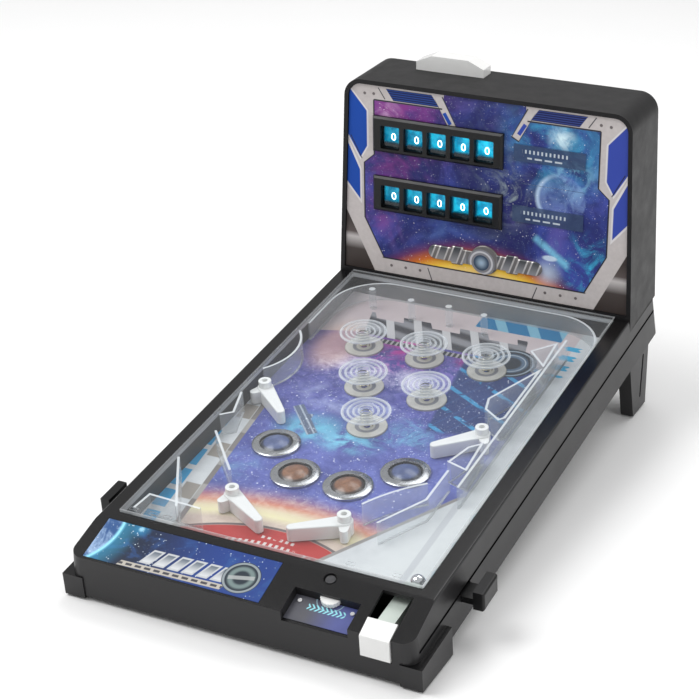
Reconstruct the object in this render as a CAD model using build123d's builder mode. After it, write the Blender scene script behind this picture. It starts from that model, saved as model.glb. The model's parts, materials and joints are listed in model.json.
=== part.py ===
"""Tabletop electronic pinball machine: a sloping body with a clear-covered playfield, four
flippers worked by two side buttons, a pull-back ball launcher and an upright score head.

Deck heights are measured square to the sloping deck, from the tops of the side rails, so
that most of them are negative.  Deck stations run back along the deck from its front edge.
"""
import os
from math import atan2, cos, degrees, hypot, radians, sin, tan

from build123d import *

# ---------------------------------------------------------------- driving dimensions (mm)
tilt = 6.6                 # the deck falls towards the player, degrees
rail_height = 44.1         # rail tops above the table at the front edge, square to the deck
body_length = 480.0        # front edge to rear wall, along the deck
frame_half = 127.3         # half width over the side rails
tray_flare = 4.5           # the lower tray is this much wider than the rails, each side
rail_width = 12.0
wall = 2.5                 # moulded wall thickness
tray_bottom = -42.0
seam = -20.0               # height of the joint between the top frame and the tray
groove_deep = 1.2          # shadow groove along the sides, just above the joint
groove_high = 2.2
groove_start = 8.0
corner_radius = 9.0
fit_gap = 0.3              # clearance round a piece that is set into another
run_gap = 0.05             # radial clearance of a turning fit

# apron at the player's end
apron_run = 39.0           # length of the sloping apron, along the deck
apron_drop = 8.1           # its front edge lies this far below the rails
window_front = 46.3        # front edge of the playfield window

# score head
head_height = 168.5
head_depth = 62.0
head_set_in = 0.5          # the head's back stands this far inside the body's rear wall
head_lean = 5.5            # the head leans back from the deck's normal, degrees
head_overhang = 0.5        # the head is this much wider than the rails, each side, at its foot
head_narrowing = 6.7       # and this much narrower at its top than at its foot
head_corner = 15.0
head_wall = 3.6
head_seat = -9.0           # height of the ledge the head stands on

# playfield
board_top = -17.9
board_thick = 2.5
field_shift = -1.55        # the play area's centre line, from midway between rail and launch lane
guide_thick = 1.8
guide_top = 0.4
cover_top = 2.6
cover_thick = 1.8
cover_skirt = 3.0

# bumpers and lamps
bumper_pitch = 53.0
bumper_rows = ((334.0, 3), (279.0, 2), (229.0, 1))
plate_radius = 15.5
plate_thick = 1.2
cap_radius = 19.0
cap_thick = 1.6
cap_top = -1.0
bumper_post = 2.6
contact_coil_radius = 4.4
lamp_pairs = ((52.7, 183.4), (21.2, 153.6))   # blue pair, amber pair: offset, station
lamp_ring_radius = 16.5
lamp_dome_radius = 11.4
lamp_dome_height = 5.0
lamp_hole = 8.0

# flippers and their linkage under the board
upper_hub_inset = 13.35    # from the side of the play area
upper_hub_station = 237.0
lower_hub_offset = 44.0    # from the centre line
lower_hub_station = 103.0
upper_rest = 44.0          # bat angle below the straight-across line, degrees
lower_rest = 33.0
bat_length = 37.0          # hub centre to tip centre
hub_radius = 6.2
tip_radius = 3.4
tail_length = 10.0
tail_angle = 80.0
tail_radius = 3.0
flipper_bottom = -17.0
bat_top = -6.2
hub_top = -1.0
boss_radius = 5.0
boss_hole = 2.3
boss_hole_deep = 4.0
shaft_radius = 3.0
crank_length = 7.1
crank_swing = 50.0         # flipper travel, degrees
crank_thick = 2.2
crank_top = -20.9
pin_radius = 1.5
pin_gap = 0.3
bar_top = -23.4
bar_thick = 2.5
bar_width = 10.0
bar_inset = 4.3            # the push bar's long run, from the side of the window

# side buttons
button_travel = 6.0
button_station = 81.0
button_length = 24.0
button_high = -12.0
button_low = -26.0
button_out = 16.2          # outer face beyond the tray side
button_thick = 8.0
neck_length = 16.0
neck_top = -21.0
spring_room = 22.0         # length of the button's return spring
spring_level = -31.0

# launcher
slot_width = 22.1
slot_inset = 1.8           # from the side of the window
slot_length = 36.5
knob_front = -1.5
knob_back = 13.0
knob_low = -25.5
knob_gap = 0.6
shank_half = 6.0
shank_low = -15.0
shank_high = -8.5
shank_end = 60.0
launch_travel = 15.0
lug_station = 44.0         # spring lug under the shank
lug_thick = 2.0
stop_station = 18.0        # fixed stop in the cradle
launch_spring_level = -21.0
ball_radius = 5.5

# ball counter on the apron
dial_width = 48.0
dial_to_slot = 8.4         # web between the pocket and the launch slot
dial_deep = 7.0
dial_back = 22.0
wheel_inset = 23.0         # from the pocket's right side
wheel_radius = 7.3
wheel_thick = 3.4
wheel_show = 5.4           # how far the wheel's rim stands out of the recess's rear wall
wheel_pin = 1.6
apron_screw_x = 19.4       # from the pocket's left side
apron_screw_a = 35.3
label_over = 2.7           # the label reaches this far beyond the window's side
label_to_dial = 17.0
label_near = 2.0
label_far = 38.5
label_thick = 0.4

# score reels
reel_radius = 19.0
reel_width = 17.6
reel_pitch = 20.4
reel_first = -80.2
reel_count = 5
reel_axle = 2.0
reel_gap = 1.0
reel_rows = {"upper": 123.2, "lower": 72.2}
cell_width = 16.7
cell_height = 19.4
bezel_side = 7.3
bezel_over = 7.0
bezel_under = 3.4
bezel_thick = 4.0
bezel_chamfer = 1.6
panel_recess = 1.5
panel_thick = 2.5
panel_bottom = 3.2         # top of the sill that the panel stands on
sill_deep = 4.6
lens_thick = 1.0
plaque_left = 25.5
plaque_right = 85.0
plaque_height = 13.8
plaque_proud = 0.8

# reset bar on top of the head
bar_left = -77.0
bar_right = -18.0
bar_depth = 15.0
bar_from_back = 5.0
bar_end_height = 6.6
bar_mid_height = 12.6
bar_mid_width = 32.0
bar_inside = 12.0
bar_drop = 4.0
bar_gap = 0.4
reset_spring_length = 9.0

# feet
foot_out = 3.2             # beyond the tray's side
foot_width = 16.0
foot_length = 46.0
foot_step = -21.0
leg_inset = 1.3            # from the tray's side
leg_thick = 10.5
leg_from_back = 23.0
leg_length = 45.0
leg_taper_front = 12.0
leg_taper_back = 6.0
leg_slot_length = 38.0
leg_slot_width = 3.4
leg_slot_drop = 21.0
pad_thick = 1.5
pad_inset = 2.0

# electrics
cell_radius = 7.2
cell_length = 50.0
cell_gap = 0.5
bay_station = 305.0
door_gap = 0.4
speaker_at = (35.0, 165.0)
speaker_radius = 25.0
speaker_height = 9.0
circuit_at = (-52.0, 172.0)
circuit_size = (72.0, 62.0)
switch_x = -90.0
switch_level = -31.0
switch_travel = 4.0

# ---------------------------------------------------------------- derived values
tray_half = frame_half + tray_flare
window_half = frame_half - rail_width
head_station = body_length - head_depth - head_set_in
head_half_bottom = frame_half + head_overhang
head_half_top = head_half_bottom - head_narrowing
window_back = head_station - 1.4 * wall
head_notch = head_station + head_seat * tan(radians(head_lean)) - fit_gap
board_bottom = board_top - board_thick
slot_right = window_half - slot_inset
slot_left = slot_right - slot_width
field_half = (slot_left + window_half) / 2
field_x = slot_left - field_half + field_shift
upper_hub = (field_half - upper_hub_inset, upper_hub_station)
lower_hub = (lower_hub_offset, lower_hub_station)
bar_x = window_half - bar_inset
dial_right = slot_left - dial_to_slot
dial_left = dial_right - dial_width
wheel_x = dial_right - wheel_inset
apron_screw = (dial_left + apron_screw_x, apron_screw_a)
label_left = -window_half - label_over
label_right = dial_left - label_to_dial
foot_outer = tray_half + foot_out
foot_inner = foot_outer - foot_width
leg_outer = tray_half - leg_inset
leg_top_back = body_length - leg_from_back
leg_top_front = leg_top_back - leg_length
leg_foot_front = leg_top_front + leg_taper_front
leg_foot_back = leg_top_back - leg_taper_back
lean = radians(tilt - head_lean)
slope = radians(tilt)

deck = Plane(
    origin=(0, -rail_height * sin(slope), rail_height * cos(slope)),
    x_dir=(1, 0, 0),
    z_dir=(0, -sin(slope), cos(slope)),
)
side = Plane(origin=deck.origin, x_dir=deck.y_dir, z_dir=(1, 0, 0))
apron_angle = slope + atan2(apron_drop, apron_run)
apron_length = hypot(apron_drop, apron_run)
apron = Plane(
    origin=deck.from_local_coords((0, 0, -apron_drop)),
    x_dir=(1, 0, 0),
    z_dir=(0, -sin(apron_angle), cos(apron_angle)),
)
head = Plane(
    origin=deck.from_local_coords((0, head_station, 0)),
    x_dir=(1, 0, 0),
    z_dir=(0, -cos(lean), -sin(lean)),
)


def ground_y(station):
    """Where the line square to the deck at a station meets the table."""
    drop = rail_height + station * tan(slope)
    return deck.from_local_coords((0, station, -drop)).Y


def block(plane, low, high, mode=Mode.ADD):
    """A box between two corners given in a plane's own directions."""
    centre = [(a + b) / 2 for a, b in zip(low, high)]
    with BuildSketch(plane.offset(low[2])) as section:
        with Locations((centre[0], centre[1])):
            Rectangle(high[0] - low[0], high[1] - low[1])
    extrude(section.sketch, amount=high[2] - low[2], mode=mode)


def side_half(height):
    """Half width of the body at a deck height: its sides spread evenly down to the tray's foot."""
    return frame_half + tray_flare * height / tray_bottom


def drafted_body(low, high, mode=Mode.ADD):
    """The body's rounded outline between two deck heights."""
    outlines = []
    for height in (low, high):
        with BuildSketch(deck.offset(height)) as outline:
            with Locations((0, body_length / 2)):
                RectangleRounded(2 * side_half(height), body_length, corner_radius)
        outlines.append(outline.sketch)
    loft(outlines, ruled=True, mode=mode)


def turned_deck(x, station, angle):
    """The deck's plane with its origin at a point and its x axis turned by an angle in degrees."""
    turned = deck.x_dir * cos(radians(angle)) + deck.y_dir * sin(radians(angle))
    return Plane(origin=deck.from_local_coords((x, station, 0)), x_dir=turned, z_dir=deck.z_dir)


def coil(radius, wire, length, turns):
    """An open helical spring that stands on its local XY plane."""
    with BuildPart() as spring:
        with BuildLine() as path:
            Helix(pitch=length / turns, height=length, radius=radius)
        with BuildSketch(Plane(origin=path.line @ 0, z_dir=path.line % 0)):
            Circle(wire)
        sweep(path=path.line, is_frenet=True)
    return spring.part


bumpers = [
    (field_x + (i - (count - 1) / 2) * bumper_pitch, station)
    for station, count in bumper_rows
    for i in range(count)
]
lamps = [[(field_x + sign * off, at) for sign in (-1, 1)] for off, at in lamp_pairs]
hubs = {
    "upper_left": (field_x - upper_hub[0], upper_hub[1], -upper_rest, 1),
    "lower_left": (field_x - lower_hub[0], lower_hub[1], -lower_rest, 1),
    "lower_right": (field_x + lower_hub[0], lower_hub[1], 180 + lower_rest, -1),
    "upper_right": (field_x + upper_hub[0], upper_hub[1], 180 + upper_rest, -1),
}
boss_out = window_half - 13.3
boss_places = [(-96, 56), (70, 56), (0, 128), (0, 245)]
boss_places += [(sign * boss_out, station) for station in (270, window_back - 19) for sign in (-1, 1)]

# ---------------------------------------------------------------- lower tray
neck_low = button_low + 0.2
window_side = neck_length / 2 + fit_gap
bay_half_x = cell_length + 2.5 * cell_gap + wall
bay_half_s = 2 * cell_radius + 1.5 * cell_gap + 1.5
floor_top = tray_bottom + wall
bay_roof = floor_top + 2 * cell_radius + 2 * cell_gap
lug_low = spring_level - 5.0

with BuildPart() as base_tray:
    drafted_body(tray_bottom, seam)
    chamfer(base_tray.faces().sort_by(Axis((0, 0, 0), deck.z_dir)).first.edges(), 1.6)
    tray_inner = side_half(seam) - wall
    block(deck, (-tray_inner, wall, floor_top), (tray_inner, body_length - wall, seam - wall - 0.5), Mode.SUBTRACT)
    lip = frame_half - 2 * wall
    block(deck, (-lip, 2 * wall, floor_top), (lip, body_length - 2 * wall, seam + 1), Mode.SUBTRACT)
    for x, station in boss_places:
        with BuildSketch(deck.offset(floor_top - 0.5)):
            with Locations((x, station)):
                Circle(4.0)
        extrude(amount=board_bottom - floor_top + 0.5)
    # battery bay, open below
    block(deck, (-bay_half_x - wall, bay_station - bay_half_s - wall, floor_top - 0.5),
          (bay_half_x + wall, bay_station + bay_half_s + wall, bay_roof + wall))
    block(deck, (-bay_half_x, bay_station - bay_half_s, tray_bottom - 1),
          (bay_half_x, bay_station + bay_half_s, bay_roof), Mode.SUBTRACT)
    # spring stops for the side buttons
    for sign in (-1, 1):
        stop = bar_x + bar_width - spring_room - 3.0
        edges = sorted((sign * stop, sign * (stop - 3.0)))
        block(deck, (edges[0], button_station - 6, floor_top - 0.5), (edges[1], button_station + 6, bar_top - 4))
    # openings: button necks, launch knob, speaker grille, power switch
    for sign in (-1, 1):
        edges = sorted((sign * (tray_half + 2), sign * (lip - 1)))
        block(deck, (edges[0], button_station - window_side, neck_low - fit_gap),
              (edges[1], button_station + window_side, seam + 1), Mode.SUBTRACT)
    block(deck, (slot_left, -2, knob_low - 1.0), (slot_right, 2 * wall + 1, seam + 1), Mode.SUBTRACT)
    with BuildSketch(deck.offset(tray_bottom - 1)):
        for ring in range(1, 4):
            with Locations(speaker_at):
                with PolarLocations(ring * 5.6, 6 * ring):
                    Circle(1.5)
    extrude(amount=wall + 2, mode=Mode.SUBTRACT)
    block(deck, (switch_x - 5, body_length - wall - 1, switch_level - 2.6),
          (switch_x + 5, body_length + 1, switch_level + 2.6), Mode.SUBTRACT)

# ---------------------------------------------------------------- top frame
wheel_at = (wheel_x, dial_back + wheel_radius - wheel_show)
wheel_low = -dial_deep + (dial_deep - wheel_thick) / 4

with BuildPart() as top_frame:
    with BuildSketch(side):
        with BuildLine():
            Polyline(
                (0, seam), (0, -apron_drop), (apron_run, 0), (head_notch, 0),
                (head_notch, head_seat), (body_length, head_seat), (body_length, seam),
                close=True,
            )
        make_face()
    extrude(amount=tray_half, both=True)
    drafted_body(seam, 1, Mode.INTERSECT)
    fillet(top_frame.edges().filter_by(Axis((0, 0, 0), deck.y_dir)).group_by(Axis((0, 0, 0), deck.z_dir))[-1], 1.6)
    for sign in (-1, 1):
        edges = sorted((sign * (side_half(seam) - groove_deep), sign * tray_half))
        block(deck, (edges[0], groove_start, seam), (edges[1], body_length + 1, seam + groove_high), Mode.SUBTRACT)
    # hollow under the apron
    with BuildSketch(side):
        with BuildLine():
            Polyline(
                (wall, seam - 1), (wall, -apron_drop - wall), (apron_run, -wall),
                (window_front - wall, -wall), (window_front - wall, seam - 1), close=True,
            )
        make_face()
    extrude(amount=frame_half - wall, both=True, mode=Mode.SUBTRACT)
    # hollow side rails
    for sign in (-1, 1):
        edges = sorted((sign * (window_half + wall), sign * (frame_half - wall)))
        block(deck, (edges[0], window_front - wall, seam - 1), (edges[1], head_station - wall, -wall),
              Mode.SUBTRACT)
    # hollow under the head
    block(deck, (wall - frame_half, head_station + wall, seam - 1),
          (frame_half - wall, body_length - wall, head_seat - wall), Mode.SUBTRACT)
    # playfield window
    block(deck, (-window_half, window_front, seam - 1), (window_half, window_back, 1), Mode.SUBTRACT)
    # pocket for the ball counter, with its wheel's slot and stub axle
    block(apron, (dial_left - wall, wall, -dial_deep - wall), (dial_right + wall, apron_length - 1, -1))
    block(apron, (dial_left, -8, -dial_deep), (dial_right, dial_back, 2), Mode.SUBTRACT)
    with BuildSketch(apron.offset(wheel_low - 0.4)):
        with Locations(wheel_at):
            Circle(wheel_radius + 0.4)
            Circle(wheel_pin - run_gap, mode=Mode.SUBTRACT)
    extrude(amount=wheel_thick + 0.8, mode=Mode.SUBTRACT)
    # screw well and label recess
    with BuildSketch(apron.offset(-2.0)):
        with Locations(apron_screw):
            Circle(4.8)
    extrude(amount=3, mode=Mode.SUBTRACT)
    block(apron, (label_left, label_near, -label_thick), (label_right, label_far, 1), Mode.SUBTRACT)
    # launch slot and the shank's way into the lane
    block(deck, (slot_left, -2, seam - 1), (slot_right, slot_length, 1), Mode.SUBTRACT)
    shank_x = (slot_left + slot_right) / 2
    block(deck, (shank_x - shank_half - 1, slot_length - 1, seam - 1),
          (shank_x + shank_half + 1, window_front + 1, shank_high + 1), Mode.SUBTRACT)

# ---------------------------------------------------------------- feet and legs
with BuildPart() as front_feet:
    for sign in (-1, 1):
        edges = sorted((sign * foot_inner, sign * foot_outer))
        block(deck, (edges[0], -1.0, -60), (edges[1], foot_length, foot_step - 4))
    drafted_body(tray_bottom, 0, Mode.SUBTRACT)
    split(bisect_by=Plane.XY.offset(pad_thick), keep=Keep.TOP)

with BuildPart() as rear_legs:
    reach = -(rail_height + leg_foot_back * tan(slope)) - 8
    for sign in (-1, 1):
        with BuildSketch(side.offset(sign * (leg_outer - leg_thick / 2))):
            with BuildLine():
                Polyline(
                    (leg_top_front, tray_bottom), (leg_foot_front, reach), (leg_foot_back, reach),
                    (leg_top_back, tray_bottom), close=True,
                )
            make_face()
        extrude(amount=leg_thick / 2, both=True)
        with BuildSketch(side.offset(sign * (leg_outer - leg_thick / 2))):
            with Locations(Location((leg_foot_back - 10, tray_bottom - leg_slot_drop, 0), (0, 0, 80))):
                SlotOverall(leg_slot_length, leg_slot_width)
        extrude(amount=leg_thick, both=True, mode=Mode.SUBTRACT)
    split(bisect_by=Plane.XY.offset(pad_thick), keep=Keep.TOP)

with BuildPart() as foot_pads:
    pads = ((1.0, foot_length, foot_inner, foot_outer),
            (leg_foot_front, leg_foot_back, leg_outer - leg_thick, leg_outer))
    for near, far, inner, outer in pads:
        near_y = ground_y(near) + pad_inset
        far_y = ground_y(far) - pad_inset
        for sign in (-1, 1):
            with BuildSketch(Plane.XY):
                with Locations((sign * (inner + outer) / 2, (near_y + far_y) / 2)):
                    RectangleRounded(outer - inner - 2 * pad_inset, far_y - near_y, 1.5)
            extrude(amount=pad_thick)

# ---------------------------------------------------------------- playfield
board_front = window_front + fit_gap
board_back = window_back - fit_gap

with BuildPart() as playfield_board:
    block(deck, (fit_gap - window_half, board_front, board_bottom), (window_half - fit_gap, board_back, board_top))
    with BuildSketch(deck.offset(board_bottom - 1)):
        for x, station, _, _ in hubs.values():
            with Locations((x, station)):
                Circle(shaft_radius + run_gap)
        for pair in lamps:
            with Locations(*pair):
                Circle(lamp_hole)
        with Locations((field_x, board_front + 9)):
            SlotOverall(46, 11)
    extrude(amount=board_thick + 2, mode=Mode.SUBTRACT)

with BuildPart() as playfield_cover:
    cover_low = cover_top - cover_thick
    half = window_half - fit_gap
    block(deck, (-half, board_front, cover_low), (half, head_station - 0.8, cover_top))
    fillet(playfield_cover.faces().sort_by(Axis((0, 0, 0), deck.z_dir)).last.edges(), 1.0)
    block(deck, (-half, board_front, cover_low - cover_skirt), (half, board_back, cover_low))
    block(deck, (guide_thick - half, board_front + guide_thick, cover_low - cover_skirt - 1),
          (half - guide_thick, board_back - guide_thick, cover_low), Mode.SUBTRACT)
    for x in (-105, -89, -78, 62, 96):
        block(deck, (x - 3, board_front + 1.5, cover_top - 0.5), (x + 3, board_front + 4.5, cover_top + 0.7))

edge_x = window_half - 1.4 - guide_thick / 2
arch_back = board_back - 0.6 - guide_thick / 2
arch_radius = 42.0

with BuildPart() as arch_rail:
    with BuildSketch(deck.offset(board_top)):
        with BuildLine():
            FilletPolyline(
                (-edge_x, arch_back - 83), (-edge_x, arch_back), (edge_x, arch_back), (edge_x, board_front + 4),
                radius=arch_radius,
            )
        trace(line_width=guide_thick)
    extrude(amount=cover_low - cover_skirt - board_top - 0.3)

right_x = slot_left - 3.2      # inner corners of the guides beside the launch lane
left_x = 2 - edge_x            # foot of the guides that stand on the left side wall
left_hub = field_x - lower_hub_offset
right_hub = field_x + lower_hub_offset
side_walls = [
    [(slot_left, 158), (slot_left, window_back - 42)],
    [(right_x - 16.2, 347), (right_x - 2.2, 364), (right_x, 330), (right_x - 16.2, 347)],
    [(right_x, 322), (right_x - 20.7, 272), (right_x - 17.2, 258), (right_x - 3.2, 248), (right_x, 252),
     (right_x, 322)],
    [(right_x - 15.2, 185), (right_x - 9.2, 207), (right_x - 2.2, 214), (right_x, 180), (right_x - 15.2, 185)],
    [(left_x, 180), (left_x + 8, 187), (left_x, 214)],
    [(left_x + 8, 160), (left_hub - 10.5, 119)],
    [(left_x, 120), (left_hub - 23.5, 66)],
    [(left_x + 3, 54), (left_x + 5, 72), (left_hub - 6.5, 70)],
    [(right_hub + 26.5, 100), (right_x - 11.2, 137), (right_x - 11.2, 175)],
]

with BuildPart() as side_guides:
    with BuildSketch(deck.offset(board_top)):
        for points in side_walls[:4]:
            with BuildLine():
                Polyline(*points)
            trace(line_width=guide_thick)
        with BuildLine():
            ThreePointArc((left_x - 1, 312), (left_x + 10, 276), (left_x - 1, 250))
        trace(line_width=guide_thick)
        with BuildLine():
            Polyline(*side_walls[4])
        trace(line_width=guide_thick)
    extrude(amount=guide_top - board_top)

with BuildPart() as inlane_guides:
    with BuildSketch(deck.offset(board_top)):
        for points in side_walls[5:]:
            with BuildLine():
                Polyline(*points)
            trace(line_width=guide_thick)
        with BuildLine():
            ThreePointArc((right_hub + 7.5, 116), (right_hub + 21.5, 137), (right_hub + 39.5, 155))
        trace(line_width=guide_thick)
    extrude(amount=guide_top - board_top)

with BuildPart() as lane_posts:
    with BuildSketch(deck.offset(board_top)):
        with Locations(*[(x, window_back - gap) for x, gap in ((-87, 20), (-49, 26), (-16, 25), (16, 28))]):
            Circle(3.0)
    extrude(amount=guide_top - board_top)
    fillet(lane_posts.faces().sort_by(Axis((0, 0, 0), deck.z_dir))[-4:].edges(), 0.6)

# ---------------------------------------------------------------- bumpers and lamps
plate_top = board_top + plate_thick
with BuildPart() as contact_plates:
    with BuildSketch(deck.offset(board_top)):
        with Locations(*bumpers):
            Circle(plate_radius)
            Circle(bumper_post + 0.1, mode=Mode.SUBTRACT)
    extrude(amount=plate_thick)

cap_low = cap_top - cap_thick
with BuildPart() as bumper_caps:
    with BuildSketch(deck.offset(board_top)):
        with Locations(*bumpers):
            Circle(bumper_post)
    extrude(amount=cap_low - board_top)
    with BuildSketch(deck.offset(cap_low)):
        with Locations(*bumpers):
            Circle(cap_radius)
    extrude(amount=cap_thick)
    with BuildSketch(deck.offset(cap_top - 0.5)):
        with Locations(*bumpers):
            Circle(cap_radius - 2.5)
            Circle(cap_radius - 6.0, mode=Mode.SUBTRACT)
    extrude(amount=1, mode=Mode.SUBTRACT)

contact_coil = coil(contact_coil_radius, 0.4, cap_low - plate_top - 2.0, 5)
with BuildPart() as contact_springs:
    places = deck.offset(plate_top + 1.0)
    for x, station in bumpers:
        add(contact_coil.moved(Plane(origin=places.from_local_coords((x, station, 0)),
                                     x_dir=deck.x_dir, z_dir=deck.z_dir).location))

with BuildPart() as lamp_rings:
    with BuildSketch(deck.offset(board_top)):
        with Locations(*(lamps[0] + lamps[1])):
            Circle(lamp_ring_radius)
            Circle(lamp_dome_radius + 0.1, mode=Mode.SUBTRACT)
    extrude(amount=2.6)
    fillet(lamp_rings.edges().group_by(Axis((0, 0, 0), deck.z_dir))[-1], 0.9)


def lamp_domes(places):
    """Hollow lamp lenses that stand on the board: a spherical crown on a short rim."""
    rim_height = 1.5
    crown = lamp_dome_height - rim_height
    sphere_radius = (lamp_dome_radius ** 2 + crown ** 2) / (2 * crown)
    with BuildPart() as domes:
        for x, station in places:
            with Locations(deck.from_local_coords((x, station, board_top + lamp_dome_height - sphere_radius))):
                Sphere(sphere_radius)
        split(bisect_by=deck.offset(board_top + rim_height), keep=Keep.TOP)
        with BuildSketch(deck.offset(board_top)) as rim:
            with Locations(*places):
                Circle(lamp_dome_radius)
        extrude(rim.sketch, amount=rim_height)
        with BuildSketch(deck.offset(board_top - 1)) as hollow:
            with Locations(*places):
                Circle(lamp_dome_radius - 4)
        extrude(hollow.sketch, amount=1 + lamp_dome_height / 2, mode=Mode.SUBTRACT)
    return domes


lamps_blue = lamp_domes(lamps[0])
lamps_amber = lamp_domes(lamps[1])

# ---------------------------------------------------------------- flippers
def make_flipper(x, station, bat_angle, turn):
    """A bat with its shaft, and the crank pinned under the board."""
    hub = turned_deck(x, station, 0)
    bat = turned_deck(x, station, bat_angle)
    tail = turned_deck(x, station, bat_angle - turn * tail_angle)
    crank = turned_deck(x, station, -90 - turn * crank_swing / 2)
    with BuildPart() as flipper:
        with BuildSketch(bat.offset(flipper_bottom)):
            Circle(hub_radius)
            with Locations((bat_length, 0)):
                Circle(tip_radius)
            make_hull()
        extrude(amount=bat_top - flipper_bottom)
        fillet(flipper.faces().sort_by(Axis((0, 0, 0), deck.z_dir)).last.edges(), 1.0)
        with BuildSketch(tail.offset(flipper_bottom)):
            Circle(hub_radius - 1)
            with Locations((tail_length, 0)):
                Circle(tail_radius)
            make_hull()
        extrude(amount=bat_top - flipper_bottom - 1.2)
        with BuildSketch(hub.offset(bat_top - 1)):
            Circle(boss_radius)
        extrude(amount=hub_top - bat_top + 1)
        fillet(flipper.faces().sort_by(Axis((0, 0, 0), deck.z_dir)).last.edges(), 0.5)
        with BuildSketch(hub.offset(hub_top - boss_hole_deep)):
            Circle(boss_hole)
        extrude(amount=boss_hole_deep + 1, mode=Mode.SUBTRACT)
        with BuildSketch(hub.offset(crank_top)):
            Circle(shaft_radius)
        extrude(amount=flipper_bottom - crank_top)
        with BuildSketch(crank.offset(crank_top - crank_thick)):
            Circle(shaft_radius + 2)
            with Locations((crank_length, 0)):
                Circle(pin_radius + 1)
            make_hull()
        extrude(amount=crank_thick)
        with BuildSketch(crank.offset(bar_top - bar_thick - 0.4)):
            with Locations((crank_length, 0)):
                Circle(pin_radius)
        extrude(amount=crank_top - bar_top + bar_thick)
    return flipper


flippers = {name: make_flipper(*hub) for name, hub in hubs.items()}

# ---------------------------------------------------------------- buttons and push bars
button_face = tray_half + button_out
spring_seat = bar_x + bar_width - 3.0


def make_button(sign):
    """A square push button on its neck, for the left (-1) or the right (1) side."""
    with BuildPart() as button:
        edges = sorted((sign * button_face, sign * (button_face - button_thick)))
        block(deck, (edges[0], button_station - button_length / 2, button_low),
              (edges[1], button_station + button_length / 2, button_high))
        fillet(button.faces().sort_by(Axis.X)[-1 if sign > 0 else 0].edges(), 1.8)
        edges = sorted((sign * (button_face - button_thick), sign * (bar_x + bar_width)))
        block(deck, (edges[0], button_station - neck_length / 2, neck_low),
              (edges[1], button_station + neck_length / 2, neck_top))
    return button


def make_push_bar(sign, upper, lower):
    """The sliding plate that joins a side button to its two flipper cranks."""
    pin_shift = crank_length * sin(radians(crank_swing / 2))
    pin_mid = crank_length * (1 + cos(radians(crank_swing / 2))) / 2
    low = bar_top - bar_thick
    with BuildPart() as bar:
        edges = sorted((sign * bar_x, sign * (bar_x + bar_width)))
        block(deck, (edges[0], button_station - 6, low), (edges[1], upper[1] - 1, bar_top))
        for x, station in (upper, lower):
            near = x - sign * 6
            edges = sorted((near, sign * (bar_x + 1)))
            block(deck, (edges[0], station - pin_mid - 5, low), (edges[1], station - pin_mid + 5, bar_top))
        for x, station in (upper, lower):
            with BuildSketch(deck.offset(low - 1)):
                with Locations(Location((x + sign * pin_shift, station - pin_mid, 0), (0, 0, 90))):
                    SlotOverall(2 * pin_radius + 2.4, 2 * (pin_radius + pin_gap))
            extrude(amount=bar_thick + 2, mode=Mode.SUBTRACT)
        edges = sorted((sign * spring_seat, sign * (bar_x + bar_width)))
        block(deck, (edges[0], button_station - 5, lug_low), (edges[1], button_station + 5, low + 0.5))
    return bar


button_left = make_button(-1)
button_right = make_button(1)
push_bar_left = make_push_bar(-1, hubs["upper_left"][:2], hubs["lower_left"][:2])
push_bar_right = make_push_bar(1, hubs["upper_right"][:2], hubs["lower_right"][:2])

button_coil = coil(3.2, 0.45, spring_room - 1.2, 8)


def place_button_spring(sign):
    """The return spring between the push bar's lug and the tray's stop."""
    start = deck.from_local_coords((sign * (spring_seat - 0.6), button_station, spring_level))
    with BuildPart() as spring:
        add(button_coil.moved(Plane(origin=start, x_dir=deck.y_dir, z_dir=(-sign, 0, 0)).location))
    return spring


button_spring_left = place_button_spring(-1)
button_spring_right = place_button_spring(1)

# ---------------------------------------------------------------- launcher
with BuildPart() as launch_cradle:
    floor = knob_low - 1.4
    near = 2 * wall + fit_gap
    block(deck, (slot_left - 2, near, floor - 2), (slot_right + 2, lug_station + 1.9, floor))
    for edge in (slot_left - 2, slot_right + 0.2):
        block(deck, (edge, near, floor - 2), (edge + 1.8, lug_station + 1.9, seam - 0.6))
    block(deck, (slot_left - 1, stop_station, floor - 1), (slot_right + 1, stop_station + 2, shank_low - 0.6))

with BuildPart() as launch_knob:
    block(deck, (slot_left + knob_gap, knob_front, knob_low), (slot_right - knob_gap, knob_back, 0))
    with BuildSketch(side):
        with BuildLine():
            Polyline(
                (knob_front, knob_low), (knob_front, -apron_drop - 0.6), (2.0, 0.5 - apron_drop),
                (knob_back, -apron_drop + knob_back * apron_drop / apron_run + 1.4), (knob_back, knob_low + 7),
                (knob_back - 4, knob_low), close=True,
            )
        make_face()
    extrude(amount=body_length, both=True, mode=Mode.INTERSECT)
    fillet(launch_knob.edges().filter_by(Axis.X), 0.9)

with BuildPart() as plunger_rod:
    block(deck, (shank_x - shank_half, knob_back, shank_low), (shank_x + shank_half, shank_end, shank_high))
    block(deck, (shank_x - shank_half, lug_station, knob_low), (shank_x + shank_half, lug_station + lug_thick, shank_low))
    fillet(plunger_rod.faces().sort_by(Axis((0, 0, 0), deck.y_dir)).last.edges(), 1.0)

launch_spring_gap = 0.5
launch_spring_length = lug_station - stop_station - 2 - 2 * launch_spring_gap
launch_coil = coil(3.4, 0.4, launch_spring_length, 8)
with BuildPart() as plunger_spring:
    spring_start = deck.from_local_coords((shank_x, stop_station + 2 + launch_spring_gap, launch_spring_level))
    add(launch_coil.moved(Plane(origin=spring_start, x_dir=(1, 0, 0), z_dir=deck.y_dir).location))

with BuildPart() as game_ball:
    ball_station = shank_end + ball_radius + 0.3
    with Locations(deck.from_local_coords((shank_x, ball_station, board_top + ball_radius + 0.05))):
        Sphere(ball_radius)

# ---------------------------------------------------------------- apron fittings
with BuildPart() as apron_label:
    block(apron, (label_left + fit_gap, label_near + fit_gap, -label_thick),
          (label_right - fit_gap, label_far - fit_gap, 0))

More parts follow.
